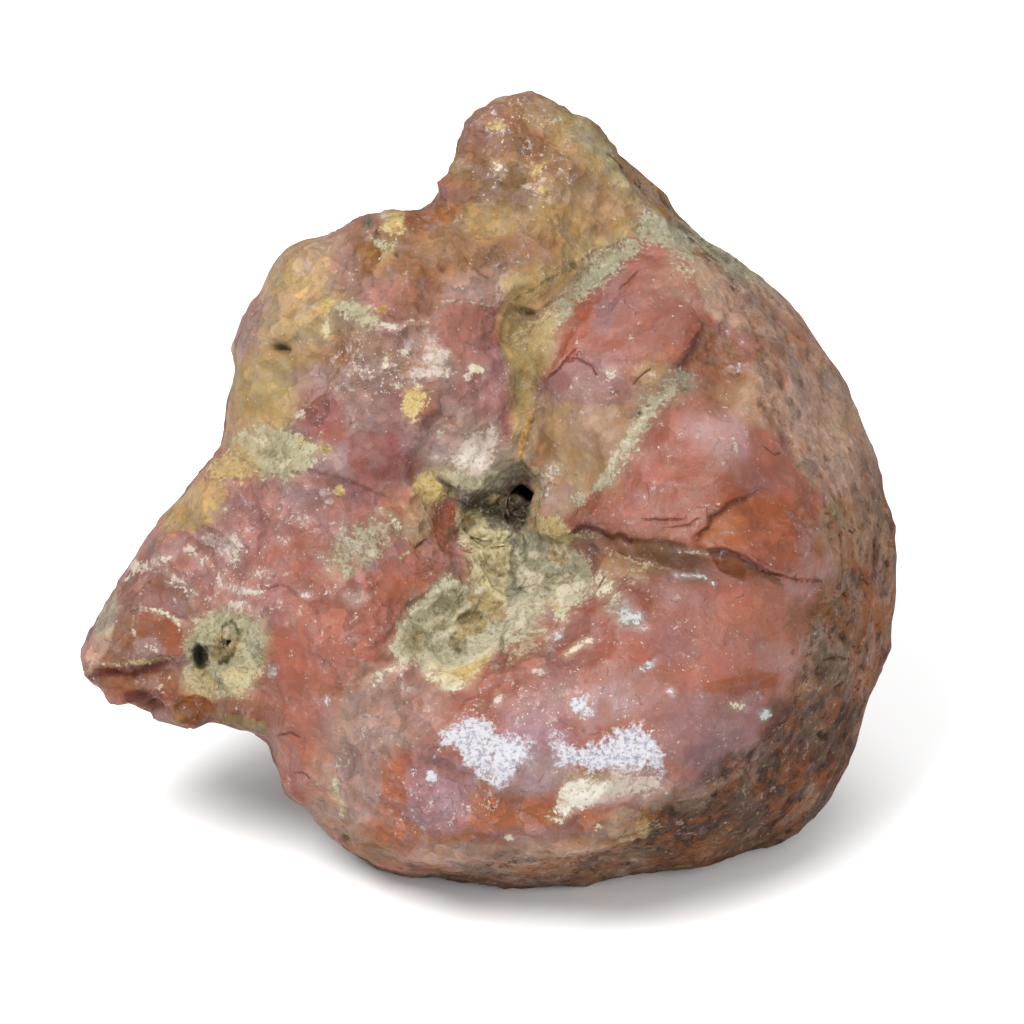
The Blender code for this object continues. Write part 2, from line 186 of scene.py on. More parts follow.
# Small hollows, (x, y, width, height, turn, depth in mm)
PITS = [
    (282, 348, 19, 10, 10, 3.0), (397, 256, 9, 8, 0, 1.2), (345, 266, 12, 9, 20, 0.8),
    (378, 240, 9, 4, 0, 1.6), (527, 312, 22, 8, 18, 2.2), (573, 265, 12, 8, 30, 1.4),
    (508, 326, 8, 6, 0, 1.0), (615, 394, 9, 5, 0, 1.2), (640, 414, 9, 7, 0, 1.6),
    (647, 406, 6, 5, 0, 1.2), (678, 365, 9, 5, 30, 1.0), (682, 390, 14, 5, 15, 0.9),
    (478, 628, 8, 7, 0, 1.5), (456, 650, 14, 7, 25, 1.2), (500, 576, 6, 5, 0, 1.0),
    (249, 385, 5, 9, 0, 0.9), (862, 667, 9, 9, 0, 1.4), (845, 596, 9, 7, 0, 1.2),
    (867, 577, 24, 9, 0, 1.2), (821, 735, 16, 12, 0, 1.4), (200, 656, 15, 26, -8, 2.6),
    (238, 636, 10, 16, 30, 0.8), (520, 442, 8, 34, 12, 0.8), (155, 707, 24, 18, 0, 3.4),
    (470, 618, 34, 16, -30, 1.6), (455, 645, 20, 16, 0, 1.2), (485, 524, 9, 7, 0, 1.4),
    (226, 646, 60, 50, -20, 0.9), (206, 676, 12, 12, 0, 0.7), (240, 632, 14, 8, 30, 0.8),
    (345, 838, 12, 7, 30, 1.2), (582, 731, 5, 5, 0, 0.8), (430, 877, 8, 6, 0, 0.8),
    (490, 772, 12, 8, 0, 0.5), (143, 693, 18, 9, 10, 1.2), (444, 248, 14, 7, 20, 0.7),
    (523, 490, 14, 14, 0, 1.5), (795, 650, 6, 8, 0, 0.9),
]

# Where grains crust the surface over, (x, y, width, height, turn, share)
CRUSTED = [
    (480, 575, 130, 190, -20, 1.0), (505, 510, 70, 80, 0, 1.0), (440, 625, 110, 75, -28, 0.8),
    (560, 560, 80, 90, 0, 0.8), (525, 350, 50, 90, 0, 0.45), (590, 275, 120, 40, -45, 0.6),
    (520, 430, 36, 120, 5, 0.5), (665, 385, 60, 50, -20, 0.7), (640, 425, 50, 46, -45, 0.5),
    (225, 650, 95, 90, 0, 0.9), (275, 452, 95, 55, 0, 0.55), (480, 220, 80, 60, 0, 0.45),
    (355, 548, 70, 65, 0, 0.5), (345, 325, 60, 40, -30, 0.5), (395, 355, 100, 60, 0, 0.5),
    (378, 225, 60, 45, 0, 0.5), (610, 165, 110, 40, 45, 0.5), (540, 530, 60, 30, 0, 0.8),
    (370, 700, 90, 110, 10, 0.25), (190, 505, 70, 50, -20, 0.3), (290, 290, 80, 90, 0, 0.3),
    (600, 790, 110, 30, 0, 0.4), (430, 868, 120, 26, 5, 0.5), (530, 640, 70, 50, 0, 0.5),
]

# Where it broke as smooth as glass, (x, y, width, height, turn, share)
SMOOTH = [
    (700, 470, 220, 190, -35, 1.0), (650, 310, 110, 110, 0, 0.9), (750, 620, 220, 150, 0, 1.0),
    (660, 560, 120, 60, 10, 1.0), (680, 690, 240, 160, 0, 0.9), (590, 350, 110, 110, 0, 0.8),
    (305, 690, 90, 190, 0, 0.7), (420, 570, 90, 60, 0, 0.7), (380, 460, 80, 70, 0, 0.6),
    (155, 632, 60, 40, 20, 0.8), (620, 600, 140, 100, 0, 0.7), (300, 560, 90, 70, 0, 0.6),
    (590, 450, 110, 110, 0, 0.7), (480, 390, 80, 80, 0, 0.5), (520, 720, 160, 100, 0, 0.6),
    (600, 770, 200, 80, 0, 0.6), (275, 380, 80, 80, 0, 0.5), (465, 335, 70, 60, 0, 0.7),
]

# The line where the broken face meets the weathered rind, down the right side and underneath,
# and the corners of the view beyond it
RIND_EDGE = [
    (560, 90), (600, 150), (640, 205), (690, 250), (735, 300), (748, 350), (752, 400), (790, 450),
    (826, 500), (838, 560), (818, 600), (812, 640), (790, 690), (762, 738), (724, 766), (690, 798),
    (650, 816), (605, 842), (560, 852), (480, 860), (400, 872), (330, 880),
]
RIND_SIDE = [(330, 1024), (1024, 1024), (1024, 0), (560, 0)]


def beside(x, y, line):
    """For each place, how far it is from a line, on which side (1 is left of its run), and how
    far along it lies and how long the line is. All in pixels."""
    gap = np.full(len(x), np.inf)
    side, run = np.ones(len(x)), np.zeros(len(x))
    length = 0.0
    for (x0, y0), (x1, y1) in zip(line, line[1:]):
        dx, dy = x1 - x0, y1 - y0
        step = math.hypot(dx, dy)
        share = np.clip(((x - x0) * dx + (y - y0) * dy) / step**2, 0, 1)
        this_gap = np.hypot(x - x0 - share * dx, y - y0 - share * dy)
        closer = this_gap < gap
        gap[closer] = this_gap[closer]
        side[closer] = np.sign((x - x0) * dy - (y - y0) * dx)[closer]
        run[closer] = (length + share * step)[closer]
        length += step
    return gap, side, run, length


def smooth_step(value, low, high):
    share = np.clip((value - low) / (high - low), 0, 1)
    return share * share * (3 - 2 * share)


CELL_MIXERS = (73856093, 19349663, 83492791)    # large numbers that set neighbouring cells apart
SEED_MIXER = 265443576
KEY_MIXER = 1274126177
HIGHEST_KEY = 0xFFFFFFFF


def chance(cell, seed):
    """A steady number from 0 to 1 for each whole-numbered cell."""
    key = seed * SEED_MIXER
    for axis, mixer in enumerate(CELL_MIXERS):
        key = key ^ cell[:, axis] * mixer
    for shift in (15, 13, 16):
        key = ((key ^ (key >> shift)) * KEY_MIXER) & HIGHEST_KEY
    return key / HIGHEST_KEY


def drift(places, size, seed=0):
    """Smooth noise from -1 to 1 that changes over about this size."""
    cell = np.floor(places / size).astype(np.int64)
    part = places / size - cell
    ease = part * part * (3 - 2 * part)
    total = np.zeros(len(places))
    for corner in np.ndindex(2, 2, 2):
        total += np.prod(np.where(corner, ease, 1 - ease), axis=1) * chance(cell + corner, seed)
    return 2 * total - 1


def rough(places, size, seed=0, layers=3):
    """Noise of several sizes, each half the one before, from about -1 to 1 in all."""
    return sum(drift(places, size / 2**k, seed + k) / 2**k for k in range(layers)) / 1.6


def bend(places, size, reach, seed=0):
    """The places moved about a little, so that what is worked out from them isn't regular."""
    moves = [rough(places, size, seed + 10 * k) for k in range(3)]
    return places + reach * np.column_stack(moves)


def grains(places, size, seed=0):
    """How far the nearest and the second grain's middle are, in grain sizes, and a number for
    the nearest grain."""
    cell = np.floor(places / size).astype(np.int64)
    near, second = np.full(len(places), np.inf), np.full(len(places), np.inf)
    which = np.zeros(len(places))
    for step in np.ndindex(3, 3, 3):
        other = cell + step - 1
        middle = other + np.column_stack([chance(other, seed + k) for k in range(3)])
        gap = np.linalg.norm(middle - places / size, axis=1)
        second = np.minimum(second, np.maximum(near, gap))
        which = np.where(gap < near, chance(other, seed + 3), which)
        near = np.minimum(near, gap)
    return near, second, which


def scoops(places, size, tilt, step, hollow, seed=0):
    """Hollow flake scars that meet in sharp ridges: each scar has its own tilt and level.
    The tilt is a slope, the step is in metres and the hollow is the slope at a scar's edge."""
    cell = np.floor(places / size).astype(np.int64)
    lowest = np.full(len(places), np.inf)
    for shift in np.ndindex(3, 3, 3):
        other = cell + shift - 1
        middle = (other + np.column_stack([chance(other, seed + k) for k in range(3)])) * size
        away = places - middle
        slope = np.column_stack([chance(other, seed + 3 + k) for k in range(3)]) * 2 - 1
        scar = tilt * np.sum(slope * away, axis=1) + hollow * np.sum(away**2, axis=1) / size
        lowest = np.minimum(lowest, scar + step * (chance(other, seed + 6) * 2 - 1))
    return lowest - np.median(lowest)


def inside(x, y, outline):
    """How many pixels inside a closed outline each place lies, less than nothing outside it."""
    gap = beside(x, y, outline + outline[:1])[0]
    within = np.zeros(len(x), bool)
    for (x0, y0), (x1, y1) in zip(outline, outline[1:] + outline[:1]):
        if y0 != y1:
            crossed = ((y0 > y) != (y1 > y)) & (x < (x1 - x0) * (y - y0) / (y1 - y0) + x0)
            within ^= crossed
    return np.where(within, gap, -gap)


def in_oval(x, y, middle_x, middle_y, width, height, turn=0):
    """The same for an oval, turned clockwise by some degrees."""
    cos, sin = math.cos(math.radians(turn)), math.sin(math.radians(turn))
    along = ((x - middle_x) * cos + (y - middle_y) * sin) / (width / 2)
    across = ((y - middle_y) * cos - (x - middle_x) * sin) / (height / 2)
    return (1 - np.hypot(along, across)) * min(width, height) / 2


def even_copy(node, spacing):
    """A bmesh of the node's surface in even squares."""
    bm = bmesh.new()
    bm.from_mesh(node.data)
    bmesh.ops.remove_doubles(bm, verts=bm.verts, dist=0.001 * MM)
    mesh = bpy.data.meshes.new("solid")
    bm.to_mesh(mesh)
    bm.free()
    solid = bpy.data.objects.new("solid", mesh)
    bpy.context.scene.collection.objects.link(solid)
    remesh = solid.modifiers.new("even", "REMESH")
    remesh.mode = "VOXEL"
    remesh.voxel_size = spacing
    even = solid.evaluated_get(bpy.context.evaluated_depsgraph_get()).to_mesh()
    bm = bmesh.new()
    bm.from_mesh(even)
    bpy.data.objects.remove(solid)
    return bm


def smooth_keeping_size(bm, rounds):
    """Smooths the surface, each shrinking pass followed by a swelling one."""
    for _ in range(rounds):
        for share in (SHRINK, SWELL):
            bmesh.ops.smooth_vert(
                bm, verts=bm.verts, factor=share, use_axis_x=True, use_axis_y=True, use_axis_z=True
            )
    bm.normal_update()


def places_of(verts):
    return np.array([vert.co for vert in verts])


def facing_of(verts):
    return np.array([vert.normal for vert in verts]) @ TO_VIEWER


def halve_edges(bm, wanted):
    """Cuts each edge in two where both of its ends are wanted, and the faces with it."""
    bm.verts.index_update()
    edges = [e for e in bm.edges if wanted[e.verts[0].index] and wanted[e.verts[1].index]]
    bmesh.ops.subdivide_edges(bm, edges=edges, cuts=1, use_grid_fill=True)
    bmesh.ops.triangulate(bm, faces=[face for face in bm.faces if len(face.verts) > 4])
    bm.normal_update()


stone_bm = even_copy(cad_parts["red_jasper"], EVEN_SPACING)
smooth_keeping_size(stone_bm, EVENING_ROUNDS)
halve_edges(stone_bm, facing_of(stone_bm.verts) > FACE_FROM)
smooth_keeping_size(stone_bm, 1)

x, y = seen_at(places_of(stone_bm.verts))
at_line = np.zeros(len(x), bool)
for line in [row[0] for row in LEDGES + CRACKS]:
    at_line |= beside(x, y, line)[0] < LINE_MARGIN * PIXELS_PER_MM
for oval in FINEST:
    at_line |= in_oval(x, y, *oval) > 0
halve_edges(stone_bm, at_line & (facing_of(stone_bm.verts) > 0))

places = places_of(stone_bm.verts)
facing = facing_of(stone_bm.verts)
x, y = seen_at(places)
on_face = smooth_step(facing, -0.05, 0.12)


def share_of(ovals, softness):
    """How much of a finish each place has, the most that any of its ovals gives."""
    share = np.zeros(len(x))
    blur = rough(places, 6 * MM, 5) * 0.35
    for *oval, amount in ovals:
        share = np.maximum(share, amount * smooth_step(in_oval(x, y, *oval) / softness + blur, -0.5, 0.5))
    return share * on_face


in_rind = inside(x, y, RIND_EDGE + RIND_SIDE) - 14 * rough(places, 9 * MM, 3)
rind = 1 - smooth_step(-in_rind, -8, 8) * on_face
crusted = share_of(CRUSTED, 14) * (1 - rind)
smooth = share_of(SMOOTH, 30) * (1 - crusted) * (1 - rind)
broken = (1 - rind) * (1 - 0.88 * smooth)

USUAL_GAP = 0.55                # how far off the nearest grain's middle mostly is, in grain sizes

# The relief, in mm: scars and steps where it broke, grains on the crust, lumps and pits on the
# rind. The scars are shallower where the face turns away, so that its outline keeps its shape.
edge_on = 0.45 + 0.55 * smooth_step(facing, 0.15, 0.5)
bent = bend(places, size=12 * MM, reach=3.0 * MM, seed=40)
broad_scars = scoops(bent, size=17 * MM, tilt=0.22, step=0.9 * MM, hollow=0.35, seed=50) / MM
relief = edge_on * (1 - rind) * (1 - 0.72 * smooth) * broad_scars
bent = bend(places, size=6 * MM, reach=1.6 * MM, seed=60)
scars = scoops(bent, size=6.5 * MM, tilt=0.22, step=0.35 * MM, hollow=0.35, seed=61) / MM
flakes = scoops(bent, size=3.0 * MM, tilt=0.2, step=0.12 * MM, hollow=0.3, seed=71) / MM
relief += edge_on * broken * scars + broken * (1 - crusted) * flakes
relief += 0.12 * rough(places, 7 * MM, seed=78)
near, second, which = grains(bend(places, size=2 * MM, reach=0.8 * MM, seed=80), size=2.9 * MM, seed=81)
grain = 1.1 * (USUAL_GAP - near) + 0.6 * (which - 0.5)
between_grains = 1 - smooth_step(second - near, 0.02, 0.2)
# Where the crust's grains meet: painted shade, laid into the crust's colour further down
crevice_shade = crusted * between_grains * smooth_step(rough(places, 5 * MM, seed=83), 0.0, 0.4)
near, second, which = grains(bend(places, size=1 * MM, reach=0.4 * MM, seed=86), size=1.3 * MM, seed=87)
grain += 0.4 * (USUAL_GAP - near) + 0.25 * (which - 0.5)
relief += crusted * (0.4 * grain + rough(places, 4.5 * MM, seed=85, layers=5))
relief += rind * (0.6 * rough(places, 8 * MM, seed=90) + 0.55 * rough(places, 3.2 * MM, seed=91))
near, second, which = grains(bend(places, size=3 * MM, reach=1.2 * MM, seed=95), size=4.4 * MM, seed=96)
relief -= rind * smooth_step(0.36 - near, 0.0, 0.22) * (which > 0.45)

# Ledges, cracks, lumps and pits, each wandering a little from its drawn place
x += 3.0 * rough(places, 5 * MM, 100)
y += 3.0 * rough(places, 5 * MM, 101)
towards_viewer = np.zeros(len(x))
level_now = (places - FACE_CENTRE) @ TO_VIEWER / MM
for *oval, level in FILLED:
    share = smooth_step(in_oval(x, y, *oval), -2, 5) * (level_now > BACK_LEVEL)
    towards_viewer += share * np.maximum(level + 2.0 * grain - level_now - towards_viewer, 0)
for *oval, height in LUMPS:
    relief += height * smooth_step(in_oval(x, y, *oval) / min(oval[2:4]) * 2, -0.1, 0.7) * on_face
for line, rise, drop, reach in LEDGES:
    gap, side, run, length = beside(x, y, line)
    gap_mm = gap / PIXELS_PER_MM
    ends = smooth_step(run, 0, LEDGE_END) * smooth_step(length - run, 0, LEDGE_END)
    above = (rise * (side > 0) - drop * (side < 0)) * smooth_step(gap_mm, 0, 0.5)
    towards_viewer += above * np.exp(-gap_mm / reach) * ends * on_face
for line, depth in CRACKS:
    gap, side, run, length = beside(x, y, line)
    gap_mm = gap / PIXELS_PER_MM
    ends = smooth_step(run, 0, CRACK_END) * smooth_step(length - run, 0, CRACK_END)
    relief -= depth * (1 - smooth_step(gap_mm, 0.1, CRACK_REACH)) * ends * on_face
for *oval, depth in PITS:
    relief -= depth * smooth_step(in_oval(x, y, *oval) / min(oval[2:4]) * 2, -0.15, 0.6) * on_face

normals = np.array([vert.normal for vert in stone_bm.verts])
normals /= np.linalg.norm(normals, axis=1)[:, None]
lowest = places[:, 2].min()
moved = places + (normals * relief[:, None] + TO_VIEWER * towards_viewer[:, None]) * MM
moved[:, 2] = np.maximum(moved[:, 2], lowest)
for vert, place in zip(stone_bm.verts, moved):
    vert.co = place
stone_bm.normal_update()


# The colours of the jasper, its crusts and its rind, as they look in even light (0 to 255)
COLOURS = {
    "brick": (164, 102, 84), "red": (172, 92, 70), "salmon": (159, 102, 85), "rose": (170, 122, 114),
    "mauve": (152, 110, 108), "grey mauve": (162, 132, 124), "lilac": (178, 152, 152),
    "purple": (120, 88, 90), "dusky": (146, 90, 82), "violet": (168, 128, 136), "rust": (152, 86, 54),
    # the dark rust of the next line is both a rust colour and painted shade under ledges and in slits
    "dark rust": (108, 54, 28), "orange": (184, 112, 66), "amber": (128, 76, 34),
    "brown": (140, 98, 70), "tan brown": (160, 124, 88), "tan": (186, 158, 122),
    "ochre": (196, 164, 106), "gold": (186, 140, 72), "yellow": (214, 186, 118),
    "straw": (186, 162, 112), "cream": (232, 220, 190), "bright cream": (252, 244, 230),
    "white": (228, 229, 234), "pink white": (222, 204, 192), "blue white": (206, 214, 216),
    "grey green": (168, 162, 134), "pale green": (190, 182, 146), "pale straw": (226, 210, 162),
    "olive": (136, 122, 78), "dark olive": (84, 74, 40), "grey": (134, 124, 106),
    "scar": (116, 88, 68), "vein": (180, 170, 144), "leaf": (170, 162, 126),
    "leaf rim": (204, 196, 164), "rind pale": (192, 158, 138), "dark grey": (92, 82, 60),
    # the near black in the next line is painted shade, for deep hollows and pores
    "hollow shade": (24, 20, 12), "dark red": (112, 58, 40), "chalk shade": (176, 174, 188),
    "rind": (160, 124, 102), "rind tan": (166, 128, 96), "rind brown": (112, 82, 60),
    "rind dark": (74, 52, 38), "rind orange": (160, 96, 54), "rind rust": (112, 62, 40),
    "rind grey": (110, 94, 78),
}
SHEEN = 0.021                   # light that the soft shine adds, whatever the colour
STUDIO_SHARE = 0.50             # the light is brighter than even light, to whiten the floor
LEAST_LIGHT = 0.2               # the least share of a colour's light that is left without the shine

# The large stretches of colour, (colour, outline, share), each over the ones before
STRETCHES = [
    ("mauve", [(240, 430), (300, 345), (400, 300), (505, 305), (515, 480), (440, 505), (400, 565),
     (320, 530)], 1.0),
    ("tan", [(285, 240), (345, 236), (345, 300), (325, 345), (300, 425), (250, 460), (215, 450),
     (232, 340), (258, 275)], 0.9),
    ("tan brown", [(345, 235), (426, 208), (432, 180), (448, 140), (476, 88), (520, 84), (580, 120),
     (660, 205), (600, 250), (555, 300), (515, 320), (500, 295), (430, 280), (345, 300)], 0.9),
    ("salmon", [(595, 260), (640, 240), (730, 320), (800, 430), (835, 520), (825, 585), (700, 560),
     (560, 530), (545, 470), (530, 400), (545, 350)], 1.0),
    ("rose", [(190, 470), (330, 475), (400, 560), (330, 630), (280, 720), (100, 705), (80, 650),
     (120, 590)], 0.8),
    ("brick", [(270, 610), (400, 555), (400, 670), (345, 700), (330, 830), (285, 800), (262, 730)],
     0.8),
    ("brick", [(620, 570), (720, 570), (830, 590), (800, 690), (740, 760), (640, 815), (440, 850),
     (340, 830), (420, 690)], 0.8),
    ("straw", [(500, 335), (540, 318), (590, 262), (650, 232), (625, 222), (570, 262), (505, 302)],
     0.8),
    ("straw", [(500, 330), (550, 330), (540, 400), (535, 480), (515, 485), (512, 400)], 1.0),
    ("tan brown", [(545, 380), (600, 375), (650, 385), (630, 440), (590, 500), (545, 510), (535, 440)],
     0.8),
]

# Patches of colour, (colour, x, y, width, height, turn, share)
PATCHES = [
    ("mauve", 478, 122, 50, 50, 0, 0.7), ("olive", 460, 168, 16, 16, 0, 0.4),
    ("brown", 458, 188, 50, 24, 0, 0.6), ("brown", 500, 140, 110, 110, 0, 0.45),
    ("brown", 480, 190, 90, 60, 0, 0.5), ("olive", 560, 130, 90, 30, 45, 0.35),
    ("olive", 520, 190, 80, 50, 0, 0.3), ("tan", 562, 186, 40, 44, 0, 0.5),
    ("brown", 560, 150, 70, 50, 45, 0.6), ("brown", 600, 200, 60, 40, 30, 0.3),
    ("tan", 600, 208, 70, 50, 20, 0.7), ("ochre", 626, 230, 30, 18, 20, 0.8),
    ("straw", 580, 254, 60, 36, -30, 0.7), ("straw", 528, 286, 56, 50, -30, 0.8),
    ("olive", 520, 280, 40, 30, -30, 0.3), ("straw", 515, 316, 30, 24, 0, 0.8),
    ("ochre", 556, 222, 60, 40, 0, 0.6), ("ochre", 484, 222, 60, 46, 0, 0.4),
    ("brown", 415, 300, 64, 56, 0, 0.5), ("tan", 350, 355, 80, 66, 0, 0.6),
    ("grey mauve", 352, 372, 60, 40, 0, 0.4), ("brown", 505, 260, 76, 34, 0, 0.6),
    ("brown", 470, 282, 60, 30, 0, 0.4), ("grey mauve", 480, 288, 46, 26, 0, 0.7),
    ("brown", 414, 232, 40, 50, 0, 0.7), ("orange", 442, 216, 34, 24, 0, 0.6),
    ("gold", 367, 264, 32, 34, 30, 0.8), ("grey", 346, 265, 18, 16, 0, 0.6),
    ("rose", 370, 288, 60, 30, 0, 0.4), ("rose", 340, 262, 24, 50, 0, 0.6),
    ("straw", 292, 275, 60, 40, 0, 0.5), ("pink white", 305, 268, 16, 18, 0, 0.7),
    ("mauve", 250, 325, 26, 70, 5, 0.6), ("ochre", 268, 392, 90, 70, 0, 0.8),
    ("olive", 268, 392, 80, 70, 0, 0.3), ("brown", 330, 348, 40, 40, 0, 0.5),
    # the dark olive patch at 249, 386 in the next line is painted shade in a pit
    ("gold", 283, 352, 34, 20, 10, 0.5), ("dark olive", 249, 386, 5, 9, 0, 0.7),
    ("straw", 300, 320, 60, 50, 0, 0.5), ("straw", 285, 380, 70, 70, 0, 0.5),
    ("brown", 370, 365, 70, 76, 0, 0.5), ("grey mauve", 372, 360, 50, 50, 0, 0.3),
    ("brown", 420, 286, 70, 50, 0, 0.5), ("rind pale", 478, 290, 76, 44, 0, 0.5),
    ("rind pale", 420, 360, 90, 66, 0, 0.6), ("dark red", 405, 293, 9, 7, 0, 0.6),
    ("rose", 468, 335, 56, 56, 0, 0.9), ("salmon", 466, 316, 40, 16, 0, 0.5),
    ("dark red", 492, 331, 14, 34, -10, 0.6), ("grey", 445, 372, 20, 18, 0, 0.6),
    ("grey mauve", 322, 382, 54, 32, 0, 0.8), ("dusky", 322, 418, 52, 52, 0, 0.6),
    ("red", 340, 428, 30, 20, 0, 0.5), ("grey mauve", 372, 410, 64, 60, 0, 0.7),
    ("dusky", 380, 458, 72, 54, 0, 0.75), ("orange", 424, 406, 18, 16, 0, 0.4),
    ("grey mauve", 465, 405, 66, 60, 0, 0.8), ("rose", 495, 410, 30, 50, 0, 0.7),
    ("rose", 470, 385, 36, 24, 0, 0.6), ("grey green", 482, 462, 84, 44, 0, 0.8),
    ("rind pale", 462, 446, 90, 60, 0, 0.55), ("lilac", 436, 446, 30, 50, 0, 0.5),
    ("lilac", 336, 460, 34, 46, 0, 0.5), ("tan", 412, 522, 44, 50, 0, 0.7),
    ("orange", 405, 500, 60, 30, 10, 0.4), ("brick", 426, 572, 92, 60, 0, 0.7),
    ("orange", 446, 522, 30, 46, 0, 0.6), ("orange", 400, 590, 40, 30, 0, 0.4),
    ("salmon", 366, 600, 76, 46, 0, 0.7), ("pink white", 355, 595, 30, 16, 0, 0.4),
    ("rose", 275, 510, 120, 70, 0, 0.8), ("lilac", 288, 498, 54, 30, 0, 0.4),
    ("brick", 375, 520, 60, 90, 20, 0.5), ("ochre", 190, 508, 76, 40, -10, 0.8),
    ("brown", 158, 598, 80, 50, 10, 0.5), ("red", 158, 635, 54, 48, 10, 0.8),
    ("grey mauve", 100, 640, 30, 76, 12, 0.8), ("brown", 130, 645, 80, 66, 10, 0.7),
    # the darkest patches in the next four lines, under the wing's ledge and along its underside, are
    # painted shade
    ("brown", 150, 684, 120, 40, 8, 0.6), ("dark rust", 135, 669, 76, 14, 0, 0.7),
    ("rust", 142, 688, 90, 30, 8, 0.5), ("dark rust", 143, 695, 26, 14, 10, 0.7),
    ("amber", 193, 709, 42, 30, 0, 0.9), ("brown", 244, 716, 66, 28, 0, 0.7),
    ("dark rust", 240, 722, 80, 22, 0, 0.5), ("brown", 226, 702, 70, 18, 0, 0.6),
    ("brick", 302, 560, 70, 50, 0, 0.9), ("rose", 285, 563, 18, 14, 0, 0.7),
    ("red", 285, 660, 40, 44, 0, 0.6), ("brick", 305, 700, 70, 120, 0, 0.6),
    ("lilac", 330, 715, 28, 40, 0, 0.35), ("lilac", 332, 780, 18, 26, 0, 0.4),
    ("tan", 372, 724, 76, 100, 10, 0.6), ("grey mauve", 372, 720, 66, 90, 10, 0.6),
    ("orange", 388, 790, 36, 64, 0, 0.4), ("rose", 366, 770, 40, 60, 0, 0.5),
    ("grey mauve", 330, 815, 46, 34, 0, 0.6), ("tan", 375, 850, 70, 30, 0, 0.6),
    ("grey mauve", 395, 706, 40, 40, 0, 0.3), ("straw", 532, 350, 50, 50, 0, 0.7),
    ("olive", 522, 370, 20, 50, 0, 0.3), ("mauve", 618, 298, 60, 90, 0, 0.8),
    ("red", 585, 322, 22, 90, 28, 0.8), ("brick", 660, 305, 50, 56, 0, 0.8),
    ("tan", 682, 280, 56, 40, 20, 0.6), ("brick", 672, 340, 44, 44, 0, 0.7),
    ("red", 618, 358, 46, 44, 0, 0.3), ("mauve", 582, 388, 76, 50, 0, 0.9),
    ("tan", 580, 425, 80, 70, 0, 0.7), ("grey mauve", 592, 430, 60, 50, 0, 0.4),
    ("tan", 568, 482, 70, 70, 0, 0.9), ("rose", 560, 496, 34, 34, 0, 0.5),
    # the darkest patch in the next line, at 692, 342, is painted shade under the step at the shoulder
    ("straw", 652, 372, 34, 34, 0, 0.6), ("dark rust", 692, 342, 12, 56, 25, 0.8),
    # the lilac patch at 722, 440 in the next line is a painted sheen, the studio's light seen on the glossy
    # facet
    ("red", 670, 460, 90, 150, 35, 0.3), ("lilac", 722, 440, 60, 66, -15, 0.7),
    ("purple", 756, 474, 36, 44, 0, 0.6), ("brick", 775, 452, 50, 54, 0, 0.6),
    ("rose", 645, 514, 50, 40, 0, 0.6), ("rust", 750, 520, 90, 60, 10, 0.85),
    ("orange", 720, 540, 50, 40, 20, 0.5), ("brick", 770, 545, 80, 50, 10, 0.5),
    ("brown", 722, 376, 60, 60, 0, 0.6), ("tan brown", 765, 398, 44, 50, 0, 0.6),
    # the brown, scar and darkest patches in the next four lines that lie under the long ledge, at y 530 to
    # 575, are the scar's own grey brown with painted shade under the ledge's lip laid over it
    ("dark rust", 712, 392, 12, 16, 0, 0.5), ("brown", 628, 546, 90, 30, 8, 0.9),
    ("brown", 640, 552, 76, 26, 15, 0.8), ("scar", 672, 556, 72, 30, 8, 0.9),
    ("brown", 600, 556, 44, 26, 0, 0.8), ("red", 640, 602, 28, 30, 0, 0.8),
    ("orange", 720, 532, 44, 26, -10, 0.6), ("dark rust", 697, 538, 12, 12, 0, 0.7),
    ("brick", 610, 636, 90, 60, -10, 0.6), ("salmon", 640, 600, 60, 40, 20, 0.6),
    ("mauve", 690, 592, 70, 40, 0, 0.6), ("orange", 752, 620, 110, 60, 0, 0.2),
    ("mauve", 745, 640, 50, 30, 0, 0.4), ("mauve", 684, 624, 54, 60, 0, 0.7),
    ("grey mauve", 776, 660, 36, 36, 0, 0.4), ("rust", 748, 682, 64, 18, -8, 0.6),
    ("salmon", 645, 640, 60, 60, 0, 0.2), ("red", 632, 665, 40, 40, 0, 0.6),
    ("rose", 640, 700, 80, 46, 0, 0.8), ("lilac", 640, 704, 70, 40, 0, 0.25),
    ("violet", 542, 742, 76, 100, 0, 0.9), ("rose", 600, 680, 60, 50, 0, 0.5),
    ("mauve", 700, 728, 120, 76, -20, 1.0), ("purple", 720, 760, 100, 40, -32, 0.6),
    ("orange", 428, 736, 24, 44, 0, 0.4), ("rose", 410, 705, 70, 50, 0, 0.8),
    ("grey mauve", 415, 720, 80, 60, 0, 0.6), ("mauve", 455, 795, 60, 74, 0, 0.8),
    ("lilac", 455, 795, 50, 60, 0, 0.5), ("lilac", 540, 700, 60, 50, 0, 0.4),
    ("lilac", 520, 775, 110, 44, 0, 0.7), ("lilac", 640, 782, 90, 30, 0, 0.5),
    ("orange", 478, 792, 26, 26, 0, 0.5), ("orange", 520, 816, 96, 34, 0, 0.7),
    ("rust", 586, 820, 50, 32, 0, 0.5), ("grey mauve", 350, 790, 50, 80, 0, 0.5),
    ("dark rust", 658, 812, 30, 18, -10, 0.6), ("brick", 492, 858, 70, 34, 0, 0.6),
    ("tan brown", 445, 868, 46, 24, 0, 0.7), ("rose", 640, 790, 90, 26, -10, 0.4),
    ("grey mauve", 560, 690, 40, 40, 0, 0.4), ("lilac", 600, 708, 70, 44, 0, 0.5),
    ("dusky", 600, 600, 100, 60, 0, 0.7), ("brick", 600, 655, 90, 46, 0, 0.5),
    ("rind pale", 360, 836, 90, 50, 20, 0.5), ("salmon", 400, 846, 140, 54, 0, 0.8),
    ("orange", 404, 846, 150, 50, 0, 0.6), ("rind pale", 412, 716, 76, 64, 0, 0.5),
    ("brick", 602, 624, 44, 32, 0, 0.6), ("brown", 630, 572, 50, 28, 8, 0.6),
